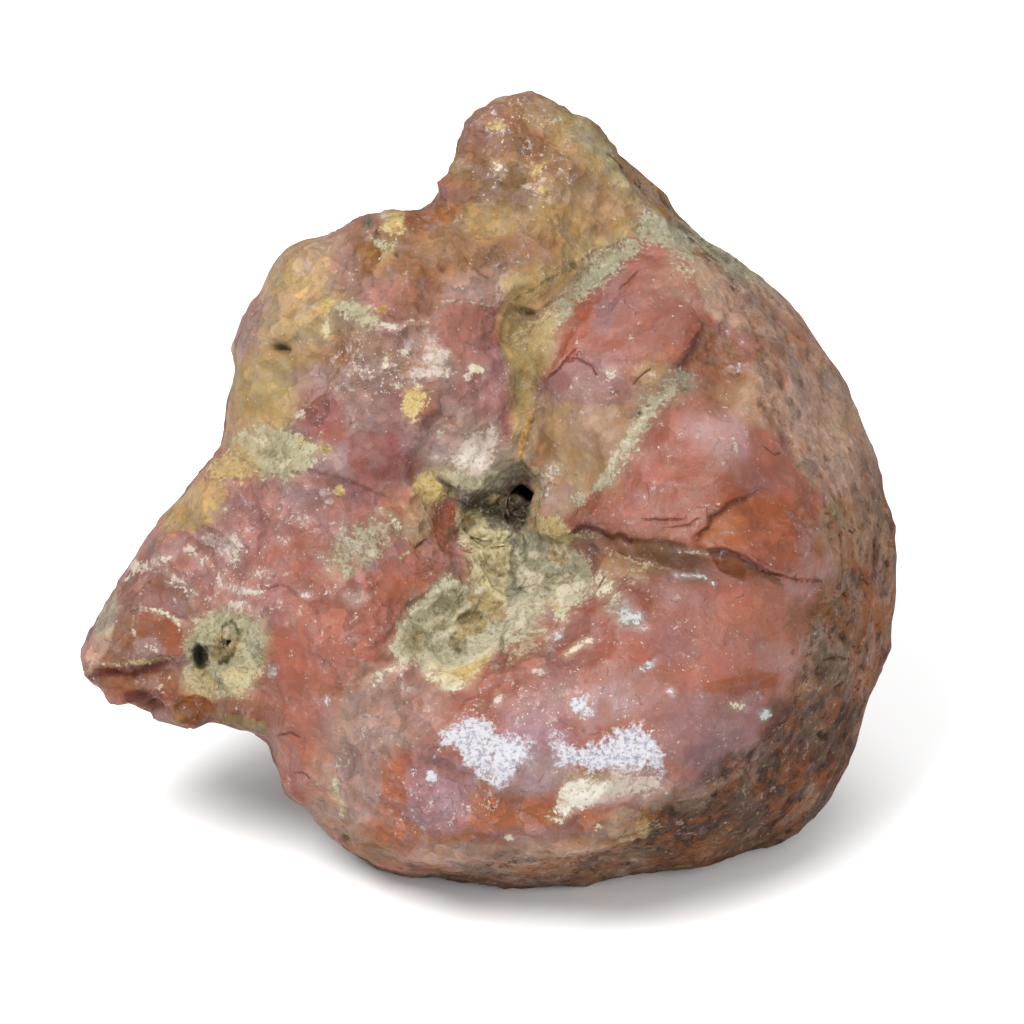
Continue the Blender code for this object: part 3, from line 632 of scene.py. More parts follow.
    ("brick", 694, 612, 64, 70, 0, 0.6), ("dusky", 576, 642, 66, 50, -20, 0.55),
    # the scar patch at 692, 572 in the next line is more painted shade under the ledge
    ("scar", 692, 572, 76, 24, 8, 0.45), ("brown", 696, 394, 56, 36, 0, 0.5),
    ("rind pale", 338, 780, 60, 120, 0, 0.45), ("tan brown", 541, 450, 24, 56, 0, 0.9),
]

# Crusts and skins that lie over the jasper with a clear edge, (colour, outline, share)
CRUSTS = [
    ("straw", [(505, 335), (530, 318), (552, 298), (574, 274), (590, 268), (578, 300), (562, 326),
     (545, 348), (530, 345), (512, 350)], 0.6),
    ("grey green", [(556, 300), (584, 264), (612, 242), (652, 228), (646, 250), (614, 276), (588, 298),
     (566, 320)], 0.7),
    ("grey green", [(640, 212), (690, 222), (740, 255), (775, 285), (760, 290), (715, 266), (665, 250),
     (634, 244)], 0.75),
    ("tan", [(655, 252), (690, 262), (712, 285), (722, 300), (690, 290), (665, 270)], 0.45),
    ("pale green", [(335, 308), (350, 300), (368, 306), (382, 320), (366, 326), (345, 318)], 0.85),
    ("pale green", [(232, 432), (262, 425), (300, 430), (316, 446), (312, 466), (290, 480), (262, 476),
     (244, 470), (228, 455)], 0.75),
    ("ochre", [(212, 460), (240, 445), (262, 470), (240, 485), (205, 480)], 0.7),
    ("grey green", [(325, 545), (340, 522), (372, 515), (396, 525), (394, 545), (372, 572), (345, 582),
     (328, 568)], 0.5),
    ("pale green", [(440, 474), (460, 470), (505, 470), (508, 486), (490, 492), (452, 488)], 0.9),
    ("pink white", [(455, 452), (470, 436), (492, 426), (498, 440), (492, 465), (478, 476), (460, 472),
     (454, 462)], 1.0),
    # In the big hollow, the grey and dark grey crusts in the next rows are its grey grains with painted
    # shade under the rim laid into them
    ("grey", [(505, 458), (530, 455), (532, 480), (526, 496), (505, 492)], 0.65),
    ("grey", [(458, 492), (500, 490), (530, 500), (530, 528), (505, 536), (490, 530), (462, 512)], 1.0),
    ("dark grey", [(460, 494), (500, 491), (530, 500), (531, 518), (506, 524), (488, 514), (464, 506)],
     0.9),
    ("pale straw", [(458, 512), (480, 508), (492, 530), (500, 528), (520, 536), (518, 552), (508, 576),
     (506, 612), (490, 618), (472, 606), (470, 582), (472, 560), (458, 540), (456, 526)], 1.0),
    ("pale straw", [(474, 556), (488, 562), (502, 560), (506, 580), (500, 600), (480, 604), (473, 580)],
     1.0),
    ("straw", [(530, 518), (552, 516), (568, 524), (575, 540), (560, 552), (540, 540), (526, 532)],
     1.0),
    ("grey green", [(505, 534), (530, 536), (550, 541), (575, 548), (588, 560), (592, 582), (570, 600),
     (548, 600), (530, 612), (510, 640), (500, 650), (495, 636), (506, 612), (508, 576), (516, 552)],
     1.0),
    ("grey green", [(512, 538), (530, 532), (552, 538), (554, 556), (536, 564), (518, 562)], 1.0),
    ("straw", [(552, 548), (566, 544), (574, 552), (568, 566), (552, 564), (546, 556)], 0.9),
    ("cream", [(516, 566), (530, 570), (545, 574), (542, 588), (530, 592), (518, 584)], 0.9),
    ("leaf rim", [(556, 576), (574, 572), (584, 580), (586, 590), (580, 600), (570, 612), (562, 628),
     (556, 616), (548, 600), (550, 586)], 0.85),
    ("cream", [(556, 586), (572, 580), (584, 584), (580, 592), (566, 596), (560, 612), (554, 604)],
     0.9),
    ("leaf rim", [(512, 596), (540, 588), (552, 596), (546, 614), (524, 632), (506, 640), (508, 616)],
     0.8),
    ("cream", [(504, 612), (520, 600), (542, 594), (546, 602), (536, 618), (518, 634), (504, 640)],
     0.55),
    ("leaf rim", [(391, 650), (400, 624), (413, 609), (431, 593), (446, 578), (462, 582), (472, 590),
     (486, 612), (504, 622), (500, 645), (486, 657), (470, 667), (450, 668), (425, 664), (402, 660)],
     1.0),
    ("leaf", [(400, 644), (408, 624), (420, 612), (436, 600), (448, 588), (458, 590), (464, 600),
     (452, 616), (446, 636), (446, 652), (424, 652), (408, 650)], 1.0),
    ("straw", [(462, 598), (480, 586), (500, 600), (505, 616), (492, 622), (474, 612)], 0.9),
    ("straw", [(448, 626), (462, 612), (486, 614), (490, 622), (478, 636), (462, 640), (450, 636)],
     0.9),
    ("olive", [(456, 618), (466, 610), (482, 612), (486, 618), (472, 622), (460, 624)], 0.9),
    ("olive", [(450, 636), (466, 638), (472, 646), (466, 655), (452, 654), (448, 644)], 0.8),
    ("cream", [(424, 668), (440, 672), (456, 670), (470, 676), (462, 683), (446, 686), (430, 678)],
     0.8),
    ("pale straw", [(430, 664), (456, 668), (474, 662), (488, 650), (493, 655), (478, 672), (458, 680),
     (440, 676)], 1.0),
    ("yellow", [(452, 670), (474, 663), (486, 654), (488, 660), (470, 674), (456, 676)], 0.9),
    ("tan", [(503, 652), (512, 640), (530, 632), (545, 634), (552, 640), (540, 652), (522, 660),
     (506, 664)], 0.55),
    ("yellow", [(404, 386), (432, 390), (422, 405), (412, 422), (402, 412)], 0.9),
    ("yellow", [(414, 478), (430, 474), (444, 484), (442, 498), (424, 502), (414, 492)], 0.95),
    ("yellow", [(380, 228), (392, 210), (401, 212), (406, 232), (392, 236)], 0.95),
    ("pale green", [(375, 236), (395, 238), (392, 250), (372, 248)], 0.7),
    ("vein", [(640, 404), (652, 392), (672, 384), (682, 382), (689, 386), (680, 394), (664, 404),
     (650, 426), (630, 456), (606, 488), (580, 506), (573, 500), (595, 480), (612, 456), (628, 428)],
     0.9),
    ("grey", [(648, 384), (662, 370), (674, 362), (696, 368), (694, 382), (672, 388), (652, 404),
     (638, 420), (632, 412)], 0.55),
    ("pink white", [(545, 465), (560, 462), (552, 480), (545, 496), (536, 500), (534, 480)], 0.7),
    ("straw", [(184, 652), (186, 636), (200, 620), (214, 616), (206, 640), (196, 660)], 0.5),
    ("pale green", [(182, 640), (195, 620), (222, 610), (248, 615), (265, 640), (262, 668), (240, 690),
     (215, 695), (190, 680)], 1.0),
    ("pale green", [(186, 650), (194, 632), (208, 622), (216, 616), (222, 624), (206, 636), (198, 650),
     (196, 668), (188, 664)], 0.8),
    ("straw", [(213, 636), (226, 630), (240, 638), (240, 650), (228, 660), (214, 660)], 0.9),
    # the dark grey and dark olive crusts in the next two rows are painted shade, in the small hollow's dark
    # hole and at its middle
    ("dark grey", [(200, 644), (209, 646), (210, 664), (204, 672), (200, 668)], 0.9),
    ("dark olive", [(219, 660), (228, 657), (233, 650), (236, 655), (230, 662), (219, 666)], 1.0),
    ("grey green", [(244, 620), (258, 622), (263, 650), (252, 660), (246, 640)], 0.7),
    ("pale straw", [(222, 672), (238, 664), (254, 660), (254, 676), (240, 692), (224, 692)], 0.9),
    ("pale straw", [(190, 672), (200, 668), (212, 682), (222, 690), (206, 696), (190, 686)], 0.9),
    ("straw", [(196, 664), (206, 668), (216, 684), (208, 692), (196, 682)], 0.6),
    ("bright cream", [(556, 790), (566, 782), (584, 779), (600, 783), (612, 778), (622, 783),
     (604, 792), (590, 802), (574, 806), (564, 816), (556, 806)], 1.0),
    ("pink white", [(606, 784), (622, 776), (640, 773), (656, 780), (664, 790), (650, 796), (632, 790),
     (616, 794), (604, 792)], 0.9),
    ("tan", [(556, 778), (572, 772), (600, 775), (602, 781), (580, 779), (562, 786)], 0.8),
    ("grey green", [(604, 602), (612, 592), (621, 598), (617, 611), (607, 610)], 0.6),
    ("blue white", [(618, 608), (626, 605), (633, 613), (644, 618), (636, 624), (622, 621)], 0.8),
    ("olive", [(552, 535), (566, 531), (600, 533), (602, 538), (580, 541), (560, 541)], 0.8),
    ("cream", [(596, 572), (610, 568), (612, 590), (600, 598), (592, 588)], 0.7),
]

# Small marks with a clear edge, (colour, x, y, width, height, turn, share)
MARKS = [
    ("yellow", 326, 306, 9, 11, 0, 0.9), ("gold", 383, 309, 9, 10, 0, 0.9),
    ("pink white", 389, 326, 15, 8, 10, 0.9), ("lilac", 410, 345, 16, 10, 0, 0.9),
    ("pink white", 432, 358, 22, 24, 0, 1.0), ("cream", 386, 362, 7, 14, 0, 0.9),
    ("pink white", 383, 216, 8, 8, 0, 0.9), ("yellow", 497, 126, 16, 10, 0, 0.7),
    ("cream", 497, 167, 8, 11, 0, 0.7), ("yellow", 539, 168, 20, 6, -48, 0.8),
    ("yellow", 541, 190, 9, 8, 0, 0.7), ("cream", 476, 370, 16, 10, 0, 0.8),
    ("pink white", 467, 376, 9, 9, 0, 0.9), ("pink white", 425, 372, 26, 9, 10, 0.8),
    ("pink white", 445, 352, 14, 12, 0, 0.8), ("pink white", 428, 340, 10, 16, 0, 0.6),
    ("pale straw", 326, 330, 10, 16, 0, 0.8), ("pink white", 441, 370, 18, 18, 0, 0.75),
    ("pink white", 412, 374, 14, 9, 0, 0.75), ("pink white", 404, 352, 11, 7, 0, 0.8),
    ("cream", 420, 386, 7, 5, 0, 0.8), ("pink white", 396, 384, 6, 5, 0, 0.8),
    ("cream", 372, 377, 5, 4, 0, 0.8), ("cream", 262, 440, 18, 7, 10, 0.8),
    ("cream", 286, 463, 14, 6, -20, 0.8), ("yellow", 300, 442, 12, 9, 0, 0.7),
    # the dark olive marks at 638, 418 and 651, 411 in the next two lines are painted shade in pits
    ("olive", 272, 454, 16, 8, 0, 0.6), ("dark olive", 638, 418, 6, 4, 0, 0.8),
    ("dark olive", 651, 411, 6, 3, 0, 0.8), ("dark grey", 672, 376, 9, 4, 10, 0.7),
    ("dark grey", 686, 384, 7, 4, 0, 0.7), ("dark grey", 660, 392, 5, 5, 0, 0.7),
    ("pink white", 439, 436, 9, 9, 0, 0.9), ("pink white", 436, 457, 8, 6, 0, 0.9),
    ("pink white", 300, 415, 14, 10, 0, 0.7), ("yellow", 325, 448, 14, 10, 0, 0.8),
    ("dark olive", 325, 449, 5, 4, 0, 0.9), ("yellow", 340, 490, 12, 11, 0, 0.9),
    ("cream", 370, 552, 9, 8, 0, 0.9), ("leaf rim", 350, 575, 12, 8, 0, 0.6),
    ("leaf rim", 336, 550, 12, 36, 10, 0.3), ("pink white", 190, 552, 17, 15, 0, 0.6),
    ("pink white", 234, 548, 18, 24, 0, 0.6), ("pink white", 221, 579, 10, 20, 0, 0.6),
    ("pink white", 242, 591, 24, 10, 20, 0.65), ("pink white", 257, 593, 9, 6, 0, 0.8),
    ("pink white", 305, 597, 6, 5, 0, 0.8), ("pink white", 168, 678, 8, 6, 0, 0.7),
    ("pink white", 160, 560, 26, 12, -20, 0.6), ("pink white", 205, 560, 14, 18, 0, 0.5),
    ("pink white", 236, 606, 26, 12, 10, 0.6), ("lilac", 215, 540, 30, 22, 0, 0.5),
    ("pink white", 262, 575, 16, 10, 0, 0.5), ("pink white", 285, 540, 14, 10, 0, 0.4),
    ("pink white", 300, 520, 20, 8, 0, 0.4), ("lilac", 325, 500, 24, 30, 0, 0.4),
    ("lilac", 271, 670, 12, 12, 0, 0.8), ("white", 327, 702, 8, 8, 0, 0.8),
    ("gold", 466, 518, 10, 8, 0, 0.8), ("straw", 496, 500, 16, 11, 0, 0.9),
    ("cream", 462, 541, 9, 12, 0, 0.7), ("cream", 436, 620, 18, 5, -35, 0.9),
    ("cream", 438, 634, 12, 7, -20, 0.9), ("cream", 412, 612, 9, 6, -40, 0.8),
    ("cream", 534, 556, 10, 8, 0, 0.8), ("yellow", 556, 606, 8, 12, 0, 0.9),
    ("cream", 478, 590, 12, 7, -30, 0.9), ("straw", 418, 636, 10, 14, 30, 0.7),
    ("olive", 450, 492, 10, 10, 0, 0.9), ("pink white", 610, 374, 14, 9, -20, 0.8),
    ("pink white", 630, 337, 5, 5, 0, 0.8), ("rust", 616, 395, 13, 7, 0, 0.6),
    ("pink white", 612, 390, 8, 4, 0, 0.7), ("cream", 450, 686, 22, 9, 0, 0.8),
    ("white", 557, 636, 7, 6, 0, 0.9), ("blue white", 578, 708, 14, 12, 0, 0.9),
    ("pink white", 537, 671, 13, 9, 0, 0.8), ("pink white", 497, 698, 9, 11, 0, 0.8),
    ("blue white", 764, 714, 9, 8, 0, 0.9), ("cream", 737, 706, 12, 6, 20, 0.8),
    ("white", 672, 691, 10, 10, 0, 0.6), ("white", 432, 777, 12, 12, 0, 0.95),
    ("white", 411, 793, 6, 6, 0, 0.9), ("white", 419, 799, 5, 5, 0, 0.9),
    ("white", 465, 803, 5, 6, 0, 0.9), ("white", 413, 774, 5, 6, 0, 0.8),
    ("cream", 510, 838, 10, 7, 0, 0.9), ("cream", 600, 827, 10, 6, 0, 0.9),
    ("cream", 635, 838, 8, 6, 0, 0.9), ("ochre", 643, 828, 11, 22, 0, 0.9),
    ("olive", 658, 830, 16, 10, 0, 0.7), ("straw", 620, 618, 8, 6, 0, 0.5),
    ("pink white", 645, 628, 12, 6, -20, 0.6), ("pink white", 575, 340, 6, 10, 0, 0.5),
    ("dark grey", 368, 224, 12, 11, 0, 0.9), ("cream", 448, 632, 24, 6, -45, 0.7),
    # the pink white mark at 694, 553 in the next line and the lilac mark at 736, 446 in the one after are
    # painted highlights
    ("cream", 434, 642, 16, 5, -45, 0.7), ("pink white", 694, 553, 16, 3, 0, 0.7),
    ("lilac", 736, 446, 5, 18, 5, 0.7), ("olive", 222, 650, 22, 14, -20, 0.6),
    ("pink white", 139, 566, 22, 14, -20, 0.7), ("pink white", 152, 648, 20, 10, 10, 0.5),
    ("bright cream", 472, 457, 28, 22, 10, 0.5), ("blue white", 648, 665, 14, 5, -35, 0.8),
]

# Lines of colour, (colour, width, line, share)
STREAKS = [
    ("dark olive", 3.5, [(222, 626), (231, 621), (239, 634), (236, 649), (221, 660)], 0.8),
    # the next streak is painted shade under the ledge at the big hollow's rim
    ("dark olive", 3, [(437, 480), (448, 484), (458, 492), (464, 500)], 0.9),
    ("dark olive", 1.8, [(514, 548), (511, 560), (512, 572)], 0.7),
    ("gold", 7, [(531, 414), (526, 430), (521, 448), (520, 458)], 1.0),
    # painted shade in the seam's slit
    ("dark rust", 3, [(535, 416), (530, 432), (525, 446)], 0.8),
    ("dark olive", 2.5, [(540, 535), (550, 540), (558, 540)], 0.8),
    ("cream", 3, [(517, 549), (520, 564), (528, 571)], 0.8),
    ("cream", 3, [(565, 545), (570, 556), (556, 566)], 0.8),
    ("leaf rim", 4, [(448, 640), (450, 652), (458, 657), (468, 650), (471, 640)], 0.9),
    ("leaf rim", 4, [(505, 650), (512, 640), (526, 632), (545, 630)], 0.9),
    ("straw", 5, [(505, 322), (530, 300), (556, 276), (590, 250)], 0.6),
    ("dark olive", 2, [(500, 318), (520, 298), (540, 284)], 0.6),
    ("olive", 2, [(560, 290), (584, 270), (612, 252)], 0.6),
    ("straw", 9, [(534, 470), (537, 490), (535, 508), (540, 524)], 0.8),
    ("straw", 2, [(606, 547), (640, 563), (650, 566), (640, 570), (624, 570)], 0.7),
    ("tan", 4, [(600, 552), (640, 562), (668, 570)], 0.5),
    ("tan", 4, [(390, 545), (400, 558), (412, 552)], 0.5),
    ("leaf rim", 5, [(364, 752), (352, 758), (346, 766)], 0.5),
    ("leaf rim", 5, [(336, 780), (336, 792), (340, 802), (342, 815)], 0.7),
    ("pink white", 3, [(372, 690), (384, 676), (398, 668), (412, 664)], 0.6),
    ("pink white", 2.5, [(362, 735), (368, 715), (380, 700)], 0.6),
    ("pink white", 2.5, [(396, 668), (404, 678), (402, 694), (410, 704)], 0.6),
    ("cream", 4, [(368, 680), (384, 670), (400, 665)], 0.8),
    ("cream", 5, [(548, 818), (562, 823)], 0.8),
    ("tan", 3, [(88, 669), (110, 666), (135, 663)], 0.8),
    ("straw", 4, [(135, 663), (155, 660), (176, 657)], 0.8),
    ("pink white", 3, [(133, 608), (135, 622), (134, 640)], 0.6),
    ("pink white", 4, [(166, 570), (176, 576), (170, 586), (184, 588), (194, 592)], 0.7),
    ("cream", 4, [(140, 608), (160, 612), (182, 624)], 0.7),
    ("pink white", 4, [(126, 580), (144, 567), (166, 572), (186, 585)], 0.6),
    ("pink white", 3, [(170, 574), (184, 588), (192, 604)], 0.6),
    ("pink white", 3, [(138, 572), (140, 590), (138, 612)], 0.6),
    ("cream", 2.5, [(556, 545), (562, 556), (552, 566)], 0.7),
    ("cream", 2.5, [(520, 575), (540, 570), (556, 560), (566, 548)], 0.7),
    ("dark grey", 2, [(516, 588), (536, 584), (552, 590)], 0.7),
    ("cream", 3, [(470, 660), (484, 652), (500, 640)], 0.8),
    # painted highlight: a bright arc on a lens-shaped facet
    ("pink white", 2, [(443, 303), (465, 300), (488, 305)], 0.7),
    ("cream", 4, [(378, 508), (390, 515), (400, 528)], 0.7),
    ("cream", 5, [(567, 655), (578, 646), (590, 640)], 0.8),
    # painted highlight: a bright line along the scar's lower edge
    ("white", 2, [(675, 575), (690, 576), (704, 578), (715, 583), (714, 590)], 0.8),
    ("pink white", 3, [(722, 390), (728, 400), (720, 432), (735, 440)], 0.4),
    ("leaf rim", 4, [(330, 575), (330, 555), (340, 530)], 0.35),
    ("cream", 5, [(650, 402), (642, 418), (630, 438), (612, 462), (598, 482)], 0.7),
    ("pink white", 3, [(604, 478), (592, 490), (582, 498)], 0.8),
]

# Stains on the rind that shows in front, (colour, x, y, width, height, turn, share)
RIND_STAINS = [
    ("rind pale", 730, 288, 150, 70, 30, 0.9), ("brown", 762, 312, 50, 34, 20, 0.4),
    ("rind pale", 838, 410, 90, 130, -20, 0.7), ("rind tan", 765, 396, 50, 56, 0, 0.5),
    ("rind pale", 822, 440, 66, 120, -20, 0.8), ("rind pale", 782, 396, 70, 90, -20, 0.7),
    ("tan", 848, 420, 34, 44, 0, 0.5), ("rind tan", 850, 530, 84, 64, 0, 0.8),
    ("olive", 835, 515, 34, 20, 30, 0.5), ("rust", 872, 574, 34, 16, 0, 0.6),
    ("rind tan", 876, 606, 40, 36, 0, 0.8), ("rind brown", 842, 640, 56, 150, 0, 0.5),
    ("rind grey", 836, 650, 36, 60, 0, 0.6), ("rind orange", 868, 640, 36, 110, 8, 1.0),
    ("rind dark", 845, 710, 40, 34, 0, 0.8), ("rind rust", 785, 725, 56, 60, 0, 0.8),
    ("rind dark", 722, 784, 96, 50, -38, 0.8), ("rind grey", 815, 722, 34, 44, 0, 0.5),
    ("rind rust", 830, 775, 40, 40, 0, 0.7), ("rind rust", 755, 806, 90, 54, 0, 0.8),
    ("rind orange", 760, 812, 60, 34, 0, 0.15), ("rind dark", 776, 790, 100, 70, -36, 0.6),
    ("rind brown", 650, 848, 210, 60, -6, 0.5), ("rind brown", 700, 812, 120, 64, -15, 0.8),
    ("rind dark", 680, 832, 90, 34, -8, 0.7), ("rind grey", 815, 814, 36, 36, 0, 0.5),
    ("rind tan", 560, 858, 190, 40, 0, 0.9), ("rind pale", 490, 856, 220, 30, 0, 0.8),
    ("rind brown", 690, 862, 150, 30, 0, 0.6), ("rind orange", 700, 858, 60, 18, 0, 0.4),
    ("tan brown", 596, 145, 190, 76, 46, 0.8), ("straw", 600, 150, 170, 24, 46, 0.7),
    ("olive", 600, 150, 150, 14, 48, 0.6), ("grey green", 608, 160, 60, 26, 45, 0.5),
    ("dark olive", 612, 148, 110, 5, 48, 0.6), ("olive", 560, 100, 60, 12, 45, 0.6),
    ("olive", 735, 262, 100, 20, 38, 0.4), ("rind brown", 800, 620, 30, 70, 0, 0.4),
]

# Facets and patches with a sharp edge, (colour, outline, share)
FACETS = [
    # the peak and the upper left
    ("straw", [(520, 112), (545, 117), (572, 134), (604, 162), (634, 188), (652, 204), (640, 214),
     (612, 198), (580, 168), (556, 146), (530, 132)], 0.35),
    ("brick", [(534, 130), (546, 130), (549, 140), (540, 144), (532, 140)], 0.3),
    ("olive", [(448, 168), (460, 162), (472, 168), (474, 180), (456, 182)], 0.5),
    ("mauve", [(438, 182), (462, 184), (480, 190), (478, 202), (450, 204), (436, 196)], 0.4),
    ("ochre", [(468, 208), (488, 203), (512, 208), (524, 222), (506, 234), (480, 238), (464, 226)],
     0.5),
    ("amber", [(420, 206), (440, 204), (455, 208), (454, 222), (436, 226), (420, 222)], 0.4),
    ("amber", [(404, 210), (418, 205), (430, 210), (430, 228), (416, 236), (404, 228)], 0.5),
    ("amber", [(354, 248), (362, 240), (378, 244), (382, 262), (372, 276), (358, 282), (352, 268)],
     0.5),
    ("amber", [(437, 258), (448, 256), (452, 268), (442, 274), (435, 268)], 0.4),
    ("grey mauve", [(442, 276), (470, 272), (500, 280), (504, 296), (470, 296), (444, 300)], 0.5),
    ("straw", [(500, 278), (520, 274), (522, 292), (508, 298), (500, 292)], 0.7),
    ("yellow", [(284, 262), (302, 260), (312, 280), (304, 300), (290, 296)], 0.35),
    ("grey mauve", [(236, 318), (252, 300), (262, 306), (258, 340), (246, 352), (234, 344)], 0.5),
    ("olive", [(250, 362), (276, 358), (290, 376), (280, 400), (258, 408), (246, 392)], 0.35),
    # the middle
    ("dusky", [(348, 437), (360, 428), (398, 434), (412, 462), (414, 480), (396, 484), (360, 474),
     (348, 462)], 0.7),
    ("dusky", [(296, 410), (300, 392), (330, 388), (345, 400), (346, 430), (330, 436), (310, 424)],
     0.35),
    ("grey mauve", [(312, 368), (330, 362), (348, 370), (350, 390), (328, 392), (312, 384)], 0.6),
    ("brick", [(448, 306), (470, 301), (492, 307), (502, 325), (500, 350), (488, 362), (462, 360),
     (446, 345), (440, 325)], 0.35),
    ("rose", [(452, 372), (480, 368), (498, 380), (498, 410), (474, 414), (452, 400)], 0.6),
    ("brown", [(380, 340), (400, 336), (414, 350), (408, 372), (388, 376), (376, 360)], 0.4),
    ("orange", [(414, 398), (430, 394), (434, 410), (420, 418), (412, 410)], 0.4),
    ("tan", [(400, 506), (424, 500), (436, 510), (432, 536), (414, 546), (400, 530)], 0.5),
    # the upper red facet and what lies under it
    ("brick", [(588, 270), (606, 246), (634, 236), (664, 240), (690, 262), (704, 300), (700, 330),
     (684, 352), (660, 366), (628, 358), (600, 352), (578, 346), (560, 356), (566, 326)], 0.6),
    ("mauve", [(596, 262), (612, 246), (626, 252), (622, 300), (608, 334), (592, 330)], 0.7),
    ("dusky", [(650, 290), (672, 282), (694, 300), (692, 330), (672, 344), (652, 330)], 0.5),
    ("mauve", [(545, 384), (562, 362), (600, 372), (640, 384), (628, 404), (590, 404), (556, 400)],
     0.6),
    ("brown", [(704, 320), (716, 330), (740, 346), (744, 370), (726, 376), (706, 366), (694, 372),
     (690, 356)], 0.6),
    ("tan brown", [(700, 392), (716, 385), (750, 372), (772, 388), (766, 420), (736, 408)], 0.5),
    # the lower red facet, the ledge at its foot and the scar beneath
    ("red", [(704, 398), (676, 408), (652, 440), (630, 474), (600, 500), (570, 512), (566, 526),
     (600, 524), (640, 526), (688, 528), (704, 516), (716, 498), (756, 488), (790, 492), (786, 452),
     (756, 420), (728, 404)], 0.15),
    ("brick", [(746, 430), (770, 428), (792, 450), (790, 468), (760, 466)], 0.6),
    ("rust", [(690, 540), (700, 524), (722, 508), (760, 492), (800, 498), (818, 506), (822, 560),
     (790, 572), (766, 566), (730, 546)], 0.4),
    ("tan", [(600, 556), (620, 556), (646, 566), (648, 578), (620, 578), (602, 570)], 0.4),
    ("rust", [(434, 506), (444, 499), (456, 507), (459, 522), (455, 538), (446, 547), (437, 537),
     (432, 520)], 0.7),
    # the amber facet and the rust strip after it are painted shadow, cast by the ledge's lip on the stone
    # below
    ("amber", [(707, 550), (724, 550), (745, 560), (763, 571), (780, 577), (784, 586), (777, 598),
     (762, 590), (737, 580), (719, 571)], 1.0),
    ("rust", [(745, 575), (765, 580), (784, 590), (782, 606), (760, 600), (742, 588)], 0.5),
    # the wing and its underside
    ("brown", [(117, 592), (130, 570), (156, 536), (164, 540), (140, 574), (122, 600), (112, 640),
     (104, 664), (88, 672), (90, 648), (100, 622)], 0.5),
    ("ochre", [(160, 532), (174, 508), (198, 482), (222, 478), (230, 494), (214, 516), (196, 532)],
     0.7),
    ("brown", [(138, 590), (160, 572), (186, 590), (190, 622), (170, 616), (146, 608)], 0.5),
    ("brown", [(112, 610), (136, 600), (138, 613), (136, 640), (128, 652), (112, 650)], 0.5),
    ("rust", [(138, 612), (150, 613), (168, 620), (181, 628), (182, 655), (168, 658), (150, 648),
     (138, 636)], 0.55),
    ("lilac", [(137, 641), (150, 637), (160, 642), (167, 655), (150, 658), (135, 655)], 0.6),
    ("vein", [(117, 590), (107, 604), (96, 620), (93, 636), (102, 646), (109, 646), (114, 630),
     (118, 607)], 0.75),
    ("rind pale", [(94, 636), (85, 655), (86, 670), (98, 667), (109, 648), (112, 636)], 0.7),
    ("mauve", [(140, 591), (160, 589), (184, 599), (187, 618), (164, 612), (142, 605)], 0.6),
    ("ochre", [(82, 666), (94, 671), (106, 686), (92, 686)], 0.5),
    # the dark red band in the next rows and the darkest facet after the brown one are painted shade, under
    # the wing's ledge and in the notch beneath it
    ("dark red", [(98, 670), (116, 668), (134, 667), (150, 664), (168, 663), (150, 668), (130, 672),
     (112, 680), (100, 680)], 0.8),
    ("brown", [(88, 676), (110, 674), (134, 672), (160, 668), (184, 662), (178, 690), (150, 690),
     (124, 690), (98, 688)], 0.6),
    ("dark rust", [(122, 692), (140, 690), (153, 692), (153, 704), (140, 706), (126, 702)], 1.0),
    ("amber", [(172, 704), (181, 697), (192, 693), (206, 696), (213, 702), (216, 712), (210, 720),
     (194, 728), (172, 724)], 1.0),
    ("gold", [(172, 712), (182, 710), (184, 722), (174, 724)], 0.5),
    ("olive", [(214, 713), (240, 714), (266, 724), (270, 736), (240, 730), (220, 722)], 0.7),
    # the lower block
    ("red", [(597, 636), (632, 632), (655, 642), (650, 662), (616, 664), (598, 652)], 0.5),
    ("red", [(705, 586), (730, 584), (756, 592), (752, 606), (722, 606), (704, 598)], 0.4),
    ("rust", [(700, 682), (736, 678), (778, 672), (776, 688), (740, 694), (704, 692)], 0.6),
    ("purple", [(684, 748), (716, 738), (750, 738), (730, 764), (704, 788), (680, 786)], 0.3),
    ("rose", [(404, 700), (420, 692), (437, 700), (438, 730), (426, 752), (408, 744)], 0.5),
    ("violet", [(404, 770), (425, 748), (450, 756), (478, 775), (472, 804), (464, 832), (430, 836),
     (408, 816)], 0.7),
    ("orange", [(466, 806), (500, 793), (552, 792), (560, 814), (520, 832), (470, 830)], 0.2),
    ("grey mauve", [(340, 740), (366, 720), (384, 760), (380, 810), (350, 822), (338, 790)], 0.6),
    ("grey mauve", [(350, 700), (372, 684), (398, 690), (404, 720), (392, 756), (366, 764), (350, 740)],
     0.4),
    ("tan brown", [(340, 830), (366, 834), (396, 846), (400, 866), (370, 862), (346, 846)], 0.6),
    ("grey mauve", [(440, 850), (470, 846), (514, 852), (512, 872), (476, 876), (444, 868)], 0.4),
    ("tan", [(606, 810), (626, 806), (642, 812), (642, 836), (624, 842), (608, 836)], 0.7),
    ("orange", [(580, 808), (604, 806), (606, 828), (584, 832)], 0.5),
]

